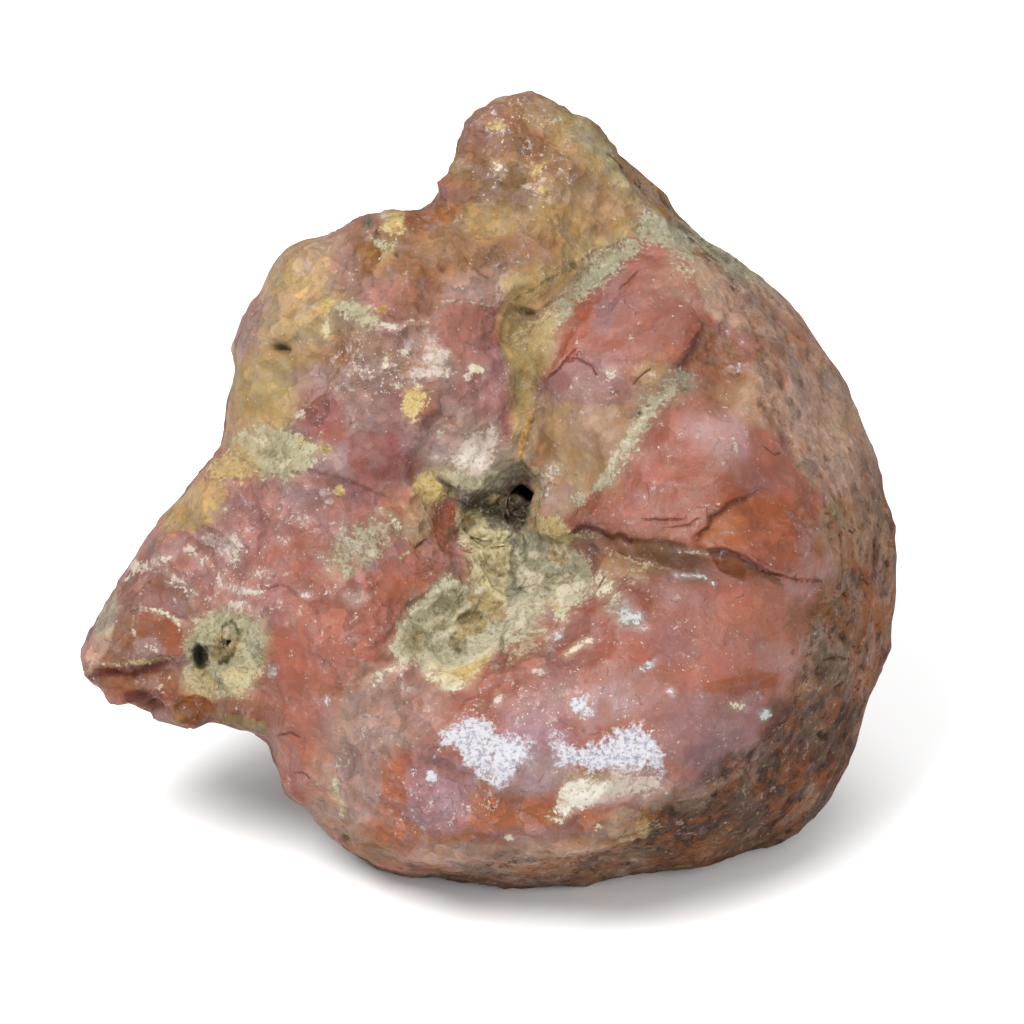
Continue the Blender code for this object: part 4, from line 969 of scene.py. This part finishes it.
# Painted shadow: dark lines under the ledges, where the stone above overhangs, (colour, width, line, share)
SHADOW_LINES = [
    ("dark rust", 5, [(568, 533), (583, 528), (594, 529), (612, 537), (620, 534), (630, 541)], 0.8),
    ("dark rust", 3, [(716, 550), (728, 551), (746, 560), (766, 572), (788, 578), (822, 580)], 1.0),
    ("dark red", 3, [(612, 549), (640, 560), (660, 567)], 0.7),
    ("dark rust", 4, [(696, 538), (708, 527), (709, 517), (721, 511), (730, 501), (755, 494)], 0.7),
    ("dark red", 3, [(265, 590), (280, 584), (290, 592)], 0.5),
    ("dark olive", 3, [(500, 303), (520, 296), (545, 283), (566, 268)], 0.6),
    ("dark olive", 3, [(568, 270), (584, 258), (602, 245)], 0.6),
    ("dark red", 3, [(318, 655), (336, 668), (342, 690)], 0.4),
    ("dark rust", 8, [(86, 680), (104, 674), (134, 670), (166, 665)], 0.9),
]

# The outlines of white powdery skins
CHALK = [
    [(436, 727), (448, 730), (457, 718), (475, 713), (487, 720), (495, 735), (520, 735), (530, 745),
     (527, 758), (515, 768), (508, 785), (497, 785), (487, 780), (478, 770), (465, 762), (455, 748),
     (440, 740)],
    [(555, 735), (565, 742), (580, 748), (600, 745), (605, 733), (620, 726), (640, 723), (652, 735),
     (662, 748), (670, 765), (665, 778), (650, 765), (625, 768), (600, 770), (575, 768), (555, 765)],
    [(566, 700), (585, 698), (590, 712), (575, 716)],
]

# Hollows too deep for light, (x, y, width, height, turn, share)
DARK = [
    (525, 489, 11, 20, 10, 0.97), (508, 512, 34, 16, 5, 0.3), (470, 503, 22, 9, 10, 0.3),
    (500, 503, 20, 6, -10, 0.45), (199, 656, 13, 26, -8, 0.9), (282, 348, 15, 6, 8, 0.9),
    (395, 255, 5, 5, 0, 0.8), (377, 240, 7, 3, 0, 0.9), (527, 312, 18, 5, 18, 0.7),
    (445, 484, 22, 5, 28, 0.7), (615, 393, 6, 3, 0, 0.6), (640, 414, 7, 4, 0, 0.8),
    (647, 406, 5, 3, 0, 0.7), (478, 628, 6, 5, 0, 0.7), (500, 576, 4, 3, 0, 0.8),
    (458, 650, 12, 4, 25, 0.6), (232, 630, 5, 12, -30, 0.4), (862, 667, 6, 6, 0, 0.6),
    (820, 735, 10, 8, 0, 0.6), (573, 265, 8, 5, 30, 0.5), (143, 693, 14, 6, 10, 0.5),
    (430, 877, 5, 4, 0, 0.6), (448, 877, 5, 4, 0, 0.6), (346, 837, 9, 5, 30, 0.6),
    (770, 573, 46, 3, 14, 0.6), (582, 731, 4, 4, 0, 0.7), (678, 365, 6, 3, 30, 0.6),
    (684, 389, 12, 3, 15, 0.6),
]

# Where the pale flecks and the painted white glints are thickest, (x, y, width, height, turn, share)
GLINTS = [
    (545, 730, 260, 110, 0, 0.9), (390, 360, 120, 90, 0, 0.9), (250, 560, 150, 130, 0, 0.7),
    (620, 640, 160, 120, 0, 0.6), (700, 460, 100, 120, 0, 0.25), (470, 400, 110, 110, 0, 0.6),
    (310, 400, 60, 90, 0, 0.5), (440, 800, 110, 90, 0, 0.9), (520, 150, 120, 110, 0, 0.9),
    (610, 350, 130, 130, 0, 0.2), (330, 640, 110, 130, 0, 0.5), (700, 700, 120, 60, 0, 0.5),
]


def linear(shade):
    """The paint that looks like a colour of 0 to 255 in the studio's light, its sheen taken off."""
    value = np.array(shade) / 255
    light = np.where(value > 0.04045, ((value + 0.055) / 1.055) ** 2.4, value / 12.92)
    return STUDIO_SHARE * np.maximum(light - SHEEN, LEAST_LIGHT * light)


def lay(paint, colour, gap, share, softness):
    """Lays a colour over the paint where the gap is above nothing, with a ragged soft edge."""
    cover = share * on_face * smooth_step(gap + softness * ragged, -softness, softness)
    paint += (linear(COLOURS[colour]) - paint) * cover[:, None]


def coat(rows, reach):
    """Adds crusts: their colours, a tinge of them round about, and how thick they are at each
    place. A row is the colour, how far inside the crust each place is, and the share."""
    bare = 1 - smooth_step(crust_share, 0.1, 0.5)
    for colour, gap, share in rows:
        lay(crust_paint, colour, gap + 0.8 * reach, bare, 0.6 * reach)
        lay(paint, colour, gap + 0.25 * reach, 0.35 * share, 0.75 * reach)
        cover = share * on_face * smooth_step(gap + reach * ragged / 6, -reach, reach)
        crust_share[:] = np.maximum(crust_share, cover)
    for colour, gap, share in rows:
        lay(crust_paint, colour, gap, share, 1.5)


def face_with(rows):
    """Adds facets in the same way, but each one only tints the paint that is there."""
    rows = [(paint + (linear(COLOURS[colour]) - paint) * share, gap) for colour, gap, share in rows]
    for reach, softness in ((12, 4), (0, 1.5)):
        for tinted, gap in rows:
            cover = smooth_step(gap + reach, -softness, softness)
            facet_paint[:] += (tinted - facet_paint) * cover[:, None]
    for tinted, gap in rows:
        facet_share[:] = np.maximum(facet_share, on_face * smooth_step(gap, -12, 12))


def outlined(rows):
    """The rows of a table of outlines, each with how far inside it every place is."""
    return [(colour, inside(x, y, outline), share) for colour, outline, share in rows]


def rounded(rows):
    """The same for a table of ovals."""
    return [(colour, in_oval(x, y, *oval), share) for colour, *oval, share in rows]


def drawn(rows):
    """The same for a table of lines."""
    return [(colour, width / 2 - beside(x, y, line)[0], share) for colour, width, line, share in rows]


STRETCH_EDGE = 9                # pixels over which a stretch of colour fades out at its edge
STAIN_EDGE = 6                  # the same for a stain on the rind
CHALK_EDGE = 12                 # and for chalk
CRUST_REACH = 12                # pixels past its edge over which a crust thins out
MARK_REACH = 4.5                # the same for a small mark
STREAK_REACH = 4                # and for a streak

# The marks' edges wander, those of the stretches and patches more than those of the small marks
seen_x, seen_y = seen_at(moved)
x = seen_x + 9 * rough(moved, 12 * MM, 110, 5)
y = seen_y + 9 * rough(moved, 12 * MM, 111, 5)
ragged = 1.4 * rough(moved, 8 * MM, 114, 5)

# Clouds of colour all over the rind, (colour, size in mm, seed, the noise they start at)
RIND_CLOUDS = [
    ("rind tan", 26, 120, -0.1), ("rind brown", 18, 124, 0.15), ("rind orange", 21, 128, 0.3),
    ("brick", 30, 132, 0.25), ("rind grey", 15, 136, 0.35), ("ochre", 24, 140, 0.45),
]
CLOUD_FADE = 0.3                # how much more noise it takes from there to the full cloud
CLOUD_SHARE = 0.8               # how much of the rind's own colour a full cloud covers

# The rind goes all round: pink brown with its clouds, tan on the left and darker low down
height = moved[:, 2] / cad_box[1][2]
rind_paint = np.tile(linear(COLOURS["rind"]), (len(moved), 1))
for colour, size, seed, start in RIND_CLOUDS:
    cover = smooth_step(rough(moved, size * MM, seed, 4), start, start + CLOUD_FADE)
    rind_paint += (linear(COLOURS[colour]) - rind_paint) * cover[:, None] * CLOUD_SHARE
left = smooth_step(0.02 - moved[:, 0] / MM / 100 + 0.2 * ragged, 0, 0.4) * smooth_step(height, 0.2, 0.4)
rind_paint += (linear(COLOURS["tan"]) - rind_paint) * left[:, None] * 0.8
low = smooth_step(0.45 - height + 0.2 * ragged, 0, 0.3)
rind_paint += (linear(COLOURS["rind brown"]) - rind_paint) * low[:, None] * 0.75

face_paint = np.tile(linear(COLOURS["rose"]), (len(moved), 1))
for colour, outline, share in STRETCHES:
    lay(face_paint, colour, inside(x, y, outline), share, STRETCH_EDGE)
for colour, *oval, share in PATCHES:
    lay(face_paint, colour, in_oval(x, y, *oval), share, max(4, 0.2 * min(oval[2:4])))
paint = face_paint + (rind_paint - face_paint) * rind[:, None]
for colour, *oval, share in RIND_STAINS:
    lay(paint, colour, in_oval(x, y, *oval), share, STAIN_EDGE)

x = seen_x + 3 * rough(moved, 4 * MM, 150)
y = seen_y + 3 * rough(moved, 4 * MM, 151)
facet_paint = paint.copy()
facet_share = np.zeros(len(moved))
face_with(outlined(FACETS) + drawn(SHADOW_LINES))
crust_paint = paint.copy()
crust_share = np.zeros(len(moved))
coat(outlined(CRUSTS), CRUST_REACH)
coat(rounded(MARKS), MARK_REACH)
coat(drawn(STREAKS), STREAK_REACH)
# Painted shade between the crust's grains
crust_paint *= 1 - 0.4 * crevice_shade[:, None]
chalk = np.zeros(len(moved))
for outline in CHALK:
    cover = smooth_step(inside(x, y, outline), -CHALK_EDGE, CHALK_EDGE)
    chalk = np.maximum(chalk, cover * on_face)
glints = share_of(GLINTS, 20)


# The finish shows through the paint: clouded glassy jasper, sandy crusts, chalk and rind
def node(tree, kind, settings=(), **inputs):
    """A shader node with its settings and inputs, each input a value or another node's output.
    An input is given by its name, or by n and its number."""
    made = tree.nodes.new("ShaderNode" + kind)
    for name, value in dict(settings).items():
        setattr(made, name, value)
    for name, value in inputs.items():
        socket = made.inputs[int(name[1:])] if name[1:].isdigit() else made.inputs[name.replace("_", " ")]
        if isinstance(value, bpy.types.NodeSocket):
            tree.links.new(value, socket)
        else:
            socket.default_value = value
    return made


def math_node(tree, operation, *values):
    inputs = {f"n{index}": value for index, value in enumerate(values)}
    return node(tree, "Math", {"operation": operation}, **inputs).outputs[0]


def ramp(tree, value, low, high, to_low=0.0, to_high=1.0):
    """The value taken smoothly from one range to another."""
    settings = {"interpolation_type": "SMOOTHSTEP"}
    return node(tree, "MapRange", settings, n0=value, n1=low, n2=high, n3=to_low, n4=to_high).outputs[0]


def blend(tree, share, first, second, kind="MIX"):
    """Two colours mixed."""
    mix = node(tree, "Mix", {"data_type": "RGBA", "blend_type": kind}, n0=share, n6=first, n7=second)
    return mix.outputs[2]


def mottle(tree, place, size_mm, detail=4.0, roughness=0.6, warp=0.0):
    """Ragged noise, its patches about this wide."""
    settings = {"noise_dimensions": "3D"}
    return node(tree, "TexNoise", settings, Vector=place, Scale=1000 / size_mm, Detail=detail,
                Roughness=roughness, Distortion=warp).outputs[0]


def cells(tree, place, size_mm, feature="F1"):
    """Cells about this wide, each with a colour of its own."""
    settings = {"voronoi_dimensions": "3D", "feature": feature}
    return node(tree, "TexVoronoi", settings, Vector=place, Scale=1000 / size_mm).outputs


def frayed(tree, value, *noises):
    """The value made ragged by noises around 0.5, each given with its amount."""
    for noise, amount in noises:
        value = math_node(tree, "ADD", value, math_node(tree, "MULTIPLY_ADD", noise, amount, -amount / 2))
    return value


def specks(tree, noise, level, drop, low, high):
    """Specks where the noise is above a level, which drops where glints are thick."""
    level = math_node(tree, "MULTIPLY_ADD", glint_share, -drop, level)
    return ramp(tree, math_node(tree, "SUBTRACT", noise, level), low, high)


def numbers_of(tree, name):
    """The three numbers that the mesh holds under a name."""
    return node(tree, "SeparateXYZ", {}, Vector=attributes[name]["Vector"]).outputs


def shade_of(name):
    return (*linear(COLOURS[name]), 1.0)


WARMER = (1.04, 0.90, 0.80, 1)          # what these shades multiply the paint by
BROWNER = (0.84, 0.76, 0.60, 1)
CRUST_SHADE = (0.70, 0.64, 0.50, 1)
# the next one darkens both stains and painted shade
STAIN_AND_SHADE = (0.42, 0.32, 0.27, 1)
BENDS_PER_METRE = 260.0                 # how finely the facets and chips are bent, and how far
BENT_BY = (3.5 * MM, 3.5 * MM, 3.5 * MM)

jasper = bpy.data.materials.new("jasper")
jasper.use_nodes = True
tree = jasper.node_tree
shader = tree.nodes["Principled BSDF"]
place = node(tree, "TexCoord").outputs["Object"]
attributes = {name: node(tree, "Attribute", {"attribute_name": name}).outputs
              for name in ("paint", "facets", "crust", "finish", "marks", "lines")}
crust_rough, rind_rough, polish = numbers_of(tree, "finish")
crust_cover, chalk_cover, glint_share = numbers_of(tree, "marks")
crack_side, crack_near, shade = numbers_of(tree, "lines")

wide = mottle(tree, place, 12.0, 4.0, 0.55, 0.8)
glint_share = math_node(tree, "MULTIPLY", glint_share, ramp(tree, wide, 0.40, 0.58, 0.2, 1.0))
middling = mottle(tree, place, 4.5, 6.0, 0.66, 0.5)
fine = mottle(tree, place, 1.2, 5.0, 0.72)

# Facets and chips, bent so that they don't look regular
warped = node(tree, "TexNoise", {"noise_dimensions": "3D"}, Vector=place,
              Scale=BENDS_PER_METRE, Detail=4.0)
bent_place = node(tree, "VectorMath", {"operation": "MULTIPLY_ADD"}, n0=warped.outputs["Color"],
                  n1=BENT_BY, n2=place).outputs[0]
facets = cells(tree, bent_place, 7.0)
chips = cells(tree, bent_place, 2.7)
facet_tone, facet_hue = node(tree, "SeparateColor", {}, Color=facets["Color"]).outputs[:2]
chip_tone = node(tree, "SeparateColor", {}, Color=chips["Color"]).outputs[0]

# Clouds in the jasper, patchy and ragged: redder and more orange here, greyer and paler there
unpolished = math_node(tree, "MULTIPLY_ADD", polish, -0.5, 1.0)
facet_edge = frayed(tree, attributes["facets"]["Alpha"], (middling, 0.5), (fine, 0.5))
in_facet = ramp(tree, facet_edge, 0.46, 0.54)
ground = blend(tree, in_facet, attributes["paint"]["Color"], attributes["facets"]["Color"])
colour = ground
hue = frayed(tree, middling, (facet_hue, 0.16))
warm_share = math_node(tree, "MULTIPLY", unpolished, ramp(tree, hue, 0.50, 0.44, 0, 0.75))
colour = blend(tree, warm_share, colour, WARMER, "MULTIPLY")
cool_share = math_node(tree, "MULTIPLY", unpolished, ramp(tree, hue, 0.52, 0.60, 0, 0.75))
colour = blend(tree, cool_share, colour, blend(tree, 0.3, ground, shade_of("lilac")))
brown_share = ramp(tree, wide, 0.46, 0.36, 0, 0.6)
colour = blend(tree, brown_share, colour, BROWNER, "MULTIPLY")
# Each facet and chip lighter or darker than its neighbours at random: painted shading of the small facets,
# with a fine grain of tone over it
tone = math_node(tree, "MULTIPLY_ADD", facet_tone, 0.38, 0.81)
tone = math_node(tree, "MULTIPLY", tone, math_node(tree, "MULTIPLY_ADD", chip_tone, 0.34, 0.83))
tone = math_node(tree, "MULTIPLY", tone, math_node(tree, "MULTIPLY_ADD", fine, 0.7, 0.65))
tone = node(tree, "Mix", {"data_type": "FLOAT"}, n0=unpolished, n2=1.0, n3=tone).outputs[0]
colour = node(tree, "VectorMath", {"operation": "SCALE"}, n0=colour, Scale=tone).outputs[0]

# Dark pores and hairlines, and the pale bruised edges and flecks between them
dark_pores = math_node(tree, "MULTIPLY", unpolished, ramp(tree, fine, 0.40, 0.30, 0, 0.7))
colour = blend(tree, dark_pores, colour, STAIN_AND_SHADE, "MULTIPLY")
hair_gap = cells(tree, bent_place, 11.0, "DISTANCE_TO_EDGE")["Distance"]
hair = math_node(tree, "MULTIPLY", ramp(tree, hair_gap, 0.014, 0.003), ramp(tree, middling, 0.54, 0.6))
colour = blend(tree, math_node(tree, "MULTIPLY", hair, 0.45), colour, shade_of("dark red"))
scuffs = mottle(tree, place, 3.4, 6.0, 0.78)
scuff_share = math_node(tree, "MULTIPLY", unpolished, ramp(tree, wide, 0.45, 0.58, 0.1, 0.7))
scuff = math_node(tree, "MULTIPLY", specks(tree, scuffs, 0.61, 0.06, -0.01, 0.05), scuff_share)
colour = blend(tree, scuff, colour, shade_of("pink white"))
flecks = mottle(tree, place, 2.0, 3.0, 0.7)
fleck = specks(tree, flecks, 0.69, 0.07, -0.01, 0.03)
# Painted glints: tiny bright specks that stand in for light caught by chips
glint_noise = mottle(tree, place, 0.8, 2.0, 0.5)
glint = specks(tree, glint_noise, 0.77, 0.10, -0.015, 0.02)
colour = blend(tree, math_node(tree, "MULTIPLY", fleck, 0.7), colour, shade_of("pink white"))
colour = blend(tree, math_node(tree, "MULTIPLY", glint, 0.75), colour, shade_of("bright cream"))

# The crusts: chalky, flowing and banded, lying over the jasper with a ragged edge, with painted shadow just
# outside it and painted shade in their crevices
sand = mottle(tree, place, 1.1, 4.0, 0.7)
edge = frayed(tree, crust_cover, (middling, 1.0), (fine, 1.3), (sand, 1.3))
has_crust = ramp(tree, edge, 0.32, 0.62)
rim = math_node(tree, "MULTIPLY", has_crust, ramp(tree, edge, 0.80, 0.60, 0, 0.15))
# Painted shadow on the jasper just outside each crust's edge
beneath = ramp(tree, edge, 0.22, 0.42, 0, 0.2)
flow = mottle(tree, place, 4.5, 6.0, 0.68, 1.0)
crust_colour = attributes["crust"]["Color"]
crust_colour = blend(tree, ramp(tree, flow, 0.50, 0.38, 0, 0.9), crust_colour, CRUST_SHADE, "MULTIPLY")
crust_colour = blend(tree, ramp(tree, flow, 0.55, 0.65, 0, 0.12), crust_colour, shade_of("bright cream"))
crust_colour = blend(tree, ramp(tree, sand, 0.54, 0.66, 0, 0.3), crust_colour, shade_of("bright cream"))
crust_colour = blend(tree, ramp(tree, sand, 0.46, 0.34, 0, 0.75), crust_colour, STAIN_AND_SHADE, "MULTIPLY")
crust_colour = blend(tree, rim, crust_colour, shade_of("cream"))
colour = blend(tree, beneath, colour, STAIN_AND_SHADE, "MULTIPLY")
colour = blend(tree, has_crust, colour, crust_colour)
# Painted shade in the crust's crevices
crevice_shade = math_node(tree, "MULTIPLY_ADD", middling, 0.6, math_node(tree, "MULTIPLY", sand, 0.4))
gap_shade = math_node(tree, "MULTIPLY", crust_rough, ramp(tree, crevice_shade, 0.41, 0.35, 0, 0.5))
colour = blend(tree, gap_shade, colour, shade_of("dark olive"))

# The rind: stained in ragged blotches of rust, brown and grey, with its pores darkened by painted shade,
# and pale scuffs
blotch = mottle(tree, place, 16.0, 5.0, 0.62, 0.5)
stain = mottle(tree, place, 10.0, 5.0, 0.65, 0.4)
pores = ramp(tree, math_node(tree, "ADD", middling, scuffs), 0.84, 0.78)
pores = math_node(tree, "MULTIPLY", rind_rough, pores)
# (noise, colour, where it starts to show, where it shows most, how much)
rind_blotches = [
    (blotch, "rind pale", 0.53, 0.60, 0.4),
    (stain, "rind orange", 0.50, 0.60, 0.6),
    (blotch, "rind dark", 0.46, 0.40, 0.6),
    (stain, "rind grey", 0.46, 0.41, 0.5),
    (scuffs, "rind dark", 0.47, 0.37, 0.8),
    (scuffs, "rind pale", 0.56, 0.65, 0.65),
]
for noise, wanted, least, most, share in rind_blotches:
    cover = math_node(tree, "MULTIPLY", rind_rough, ramp(tree, noise, least, most, 0, share))
    colour = blend(tree, cover, colour, shade_of(wanted))
# Painted shade in the rind's pores
colour = blend(tree, math_node(tree, "MULTIPLY", pores, 0.7), colour, shade_of("hollow shade"))

# Cracks, and chalk in thick and thin places
crack_edge = frayed(tree, math_node(tree, "ABSOLUTE", crack_side), (fine, 0.7))
crack = math_node(tree, "MULTIPLY", crack_near, ramp(tree, crack_edge, 0.34, 0.12))
crack_shade = blend(tree, has_crust, shade_of("dark red"), shade_of("dark olive"))
colour = blend(tree, math_node(tree, "MULTIPLY", crack, 0.75), colour, crack_shade)
chalk_edge = frayed(tree, chalk_cover, (middling, 2.0), (fine, 1.8))
has_chalk = ramp(tree, chalk_edge, 0.32, 0.85)
chalk_tone = ramp(tree, math_node(tree, "ADD", sand, fine), 0.86, 1.06)
chalk_colour = blend(tree, chalk_tone, shade_of("chalk shade"), shade_of("white"))
colour = blend(tree, math_node(tree, "MULTIPLY", has_chalk, 0.93), colour, chalk_colour)
# Painted shade: the hollows too deep for light are darkened towards near black
colour = blend(tree, shade, colour, shade_of("hollow shade"))
tree.links.new(colour, shader.inputs["Base Color"])

# Fresh jasper shines softly, the polished facets more, the crusts, chalk and rind hardly at all
dull = math_node(tree, "MAXIMUM", has_crust, has_chalk)
dull = math_node(tree, "MAXIMUM", dull, math_node(tree, "MULTIPLY", rind_rough, 0.85))
gloss = ramp(tree, frayed(tree, polish, (middling, 0.5)), 0.1, 1.0, 0.6, 0.4)
roughness = node(tree, "Mix", {"data_type": "FLOAT"}, n0=dull, n2=gloss, n3=0.9).outputs[0]
tree.links.new(roughness, shader.inputs["Roughness"])
shader.inputs["IOR"].default_value = 1.46
shader.inputs["Specular IOR Level"].default_value = 0.31

# Fine relief: small hollow chips on the broken stone, lumps and grains on the crusts and the rind,
# (what stands out, how far)
bumps = [
    (math_node(tree, "POWER", chips["Distance"], 2.0), math_node(tree, "MULTIPLY_ADD", polish, -0.6, 0.7)),
    (middling, 0.7),
    (fine, math_node(tree, "MULTIPLY_ADD", polish, -0.3, 0.32)),
    (math_node(tree, "ADD", flow, sand), crust_rough),
    (math_node(tree, "ADD", scuffs, scuffs), rind_rough),
    (pores, -0.5),
    (crack, -0.4),
    (hair, -0.15),
]
bump_height = 0.0
for bump, rise in bumps:
    bump_height = math_node(tree, "MULTIPLY_ADD", bump, rise, bump_height)
fine_relief = node(tree, "Bump", {}, Strength=0.8, Distance=0.8 * MM, Height=bump_height)
tree.links.new(fine_relief.outputs[0], shader.inputs["Normal"])


def add_colours(mesh, name, colours, cover=1.0):
    layer = mesh.attributes.new(name, "FLOAT_COLOR", "POINT")
    cover = np.zeros(len(colours)) + cover
    layer.data.foreach_set("color", np.column_stack([colours, cover]).astype(np.float32).ravel())


def add_vectors(mesh, name, *columns):
    layer = mesh.attributes.new(name, "FLOAT_VECTOR", "POINT")
    layer.data.foreach_set("vector", np.column_stack(columns).astype(np.float32).ravel())


# The rind is plainer on the upper right, (x, y, width, height, turn)
PLAINER = (800, 370, 160, 290, -20)
PLAINER_BY = 0.5                # the share of its roughness that it loses there
NEAR_CRACK = 8                  # pixels from a crack's line within which its colour can show
FAR_FROM_CRACKS = 3.0           # mm that stand for no crack nearby
plain = smooth_step(in_oval(x, y, *PLAINER), -20, 30) * on_face

# How near each place is to a crack, and on which side of it
x, y = seen_at(moved)
x += 1.2 * rough(moved, 1.6 * MM, 160)
y += 1.2 * rough(moved, 1.6 * MM, 161)
side_mm = np.full(len(moved), FAR_FROM_CRACKS)
near_line = np.zeros(len(moved))
for line in [row[0] for row in CRACKS]:
    gap, side, run, length = beside(x, y, line)
    closer = gap / PIXELS_PER_MM < np.abs(side_mm)
    side_mm[closer] = (gap * side / PIXELS_PER_MM)[closer]
    ends = smooth_step(run, 0, 4) * smooth_step(length - run, 0, 4)
    near_line = np.maximum(near_line, (gap < NEAR_CRACK) * on_face * ends)

# How dark each place is that lies too deep for light
deep = np.zeros(len(moved))
for *oval, share in DARK:
    deep = np.maximum(deep, share * on_face * smooth_step(in_oval(x, y, *oval), -1.0, 1.5))

stone_mesh = bpy.data.meshes.new("jasper_stone")
bmesh.ops.triangulate(stone_bm, faces=stone_bm.faces)
stone_bm.to_mesh(stone_mesh)
stone_bm.free()
stone_mesh.shade_smooth()
add_colours(stone_mesh, "paint", paint)
add_colours(stone_mesh, "facets", facet_paint, facet_share)
add_colours(stone_mesh, "crust", crust_paint)
add_vectors(stone_mesh, "finish", crusted, rind * (1 - PLAINER_BY * plain), smooth)
add_vectors(stone_mesh, "marks", crust_share, chalk, glints)
add_vectors(stone_mesh, "lines", side_mm, near_line, deep)
stone_mesh.materials.append(jasper)
stone = bpy.data.objects.new("jasper_stone", stone_mesh)
bpy.context.scene.collection.objects.link(stone)
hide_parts("red_jasper")
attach(stone, "root")


# The floor is a sheet of pale studio backing, laid flat and wide enough to fill the view. The
# stone stands on it, and it is no part of the stone.
FLOOR_HALF_WIDTH = 8.0          # metres
floor_bm = bmesh.new()
bmesh.ops.create_grid(floor_bm, x_segments=1, y_segments=1, size=FLOOR_HALF_WIDTH)
floor_mesh = bpy.data.meshes.new("floor")
floor_bm.to_mesh(floor_mesh)
floor_bm.free()
floor_paint = bpy.data.materials.new("pale floor")
floor_paint.use_nodes = True
floor_shader = floor_paint.node_tree.nodes["Principled BSDF"]
floor_shader.inputs["Base Color"].default_value = (0.9, 0.9, 0.9, 1)
floor_shader.inputs["Roughness"].default_value = 0.9
floor_shader.inputs["Specular IOR Level"].default_value = 0.1
floor_mesh.materials.append(floor_paint)
floor = bpy.data.objects.new("floor", floor_mesh)
bpy.context.scene.collection.objects.link(floor)
floor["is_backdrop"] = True


# The light is that of a soft studio: white surroundings, a round lamp high on the left, and two
# weaker ones, low on the right and over the top, that keep the shadows open.
SURROUNDINGS = 0.64             # how bright the white all round is
# (name, place, width in metres, power in watts)
LAMPS = [
    ("key", (-0.62, -0.60, 1.35), 0.8, 28.0),
    ("fill", (0.60, -1.20, 0.60), 1.2, 11.0),
    ("top", (0.25, 0.35, 1.5), 0.9, 10.0),
]
for name, spot, width, power in LAMPS:
    lamp_data = bpy.data.lights.new(name, "AREA")
    lamp_data.shape = "DISK"
    lamp_data.size = width
    lamp_data.energy = power
    lamp = bpy.data.objects.new(name, lamp_data)
    lamp.location = spot
    lamp.rotation_euler = (Vector(AIM) - Vector(spot)).to_track_quat("-Z", "Y").to_euler()
    bpy.context.scene.collection.objects.link(lamp)
world = bpy.data.worlds.new("studio")
world.use_nodes = True
world.node_tree.nodes["Background"].inputs["Color"].default_value = (1, 1, 1, 1)
world.node_tree.nodes["Background"].inputs["Strength"].default_value = SURROUNDINGS
bpy.context.scene.world = world
bpy.context.scene.view_settings.view_transform = "Standard"

size = {"cad": [list(corner) for corner in cad_box], "visual": [list(corner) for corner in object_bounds()]}
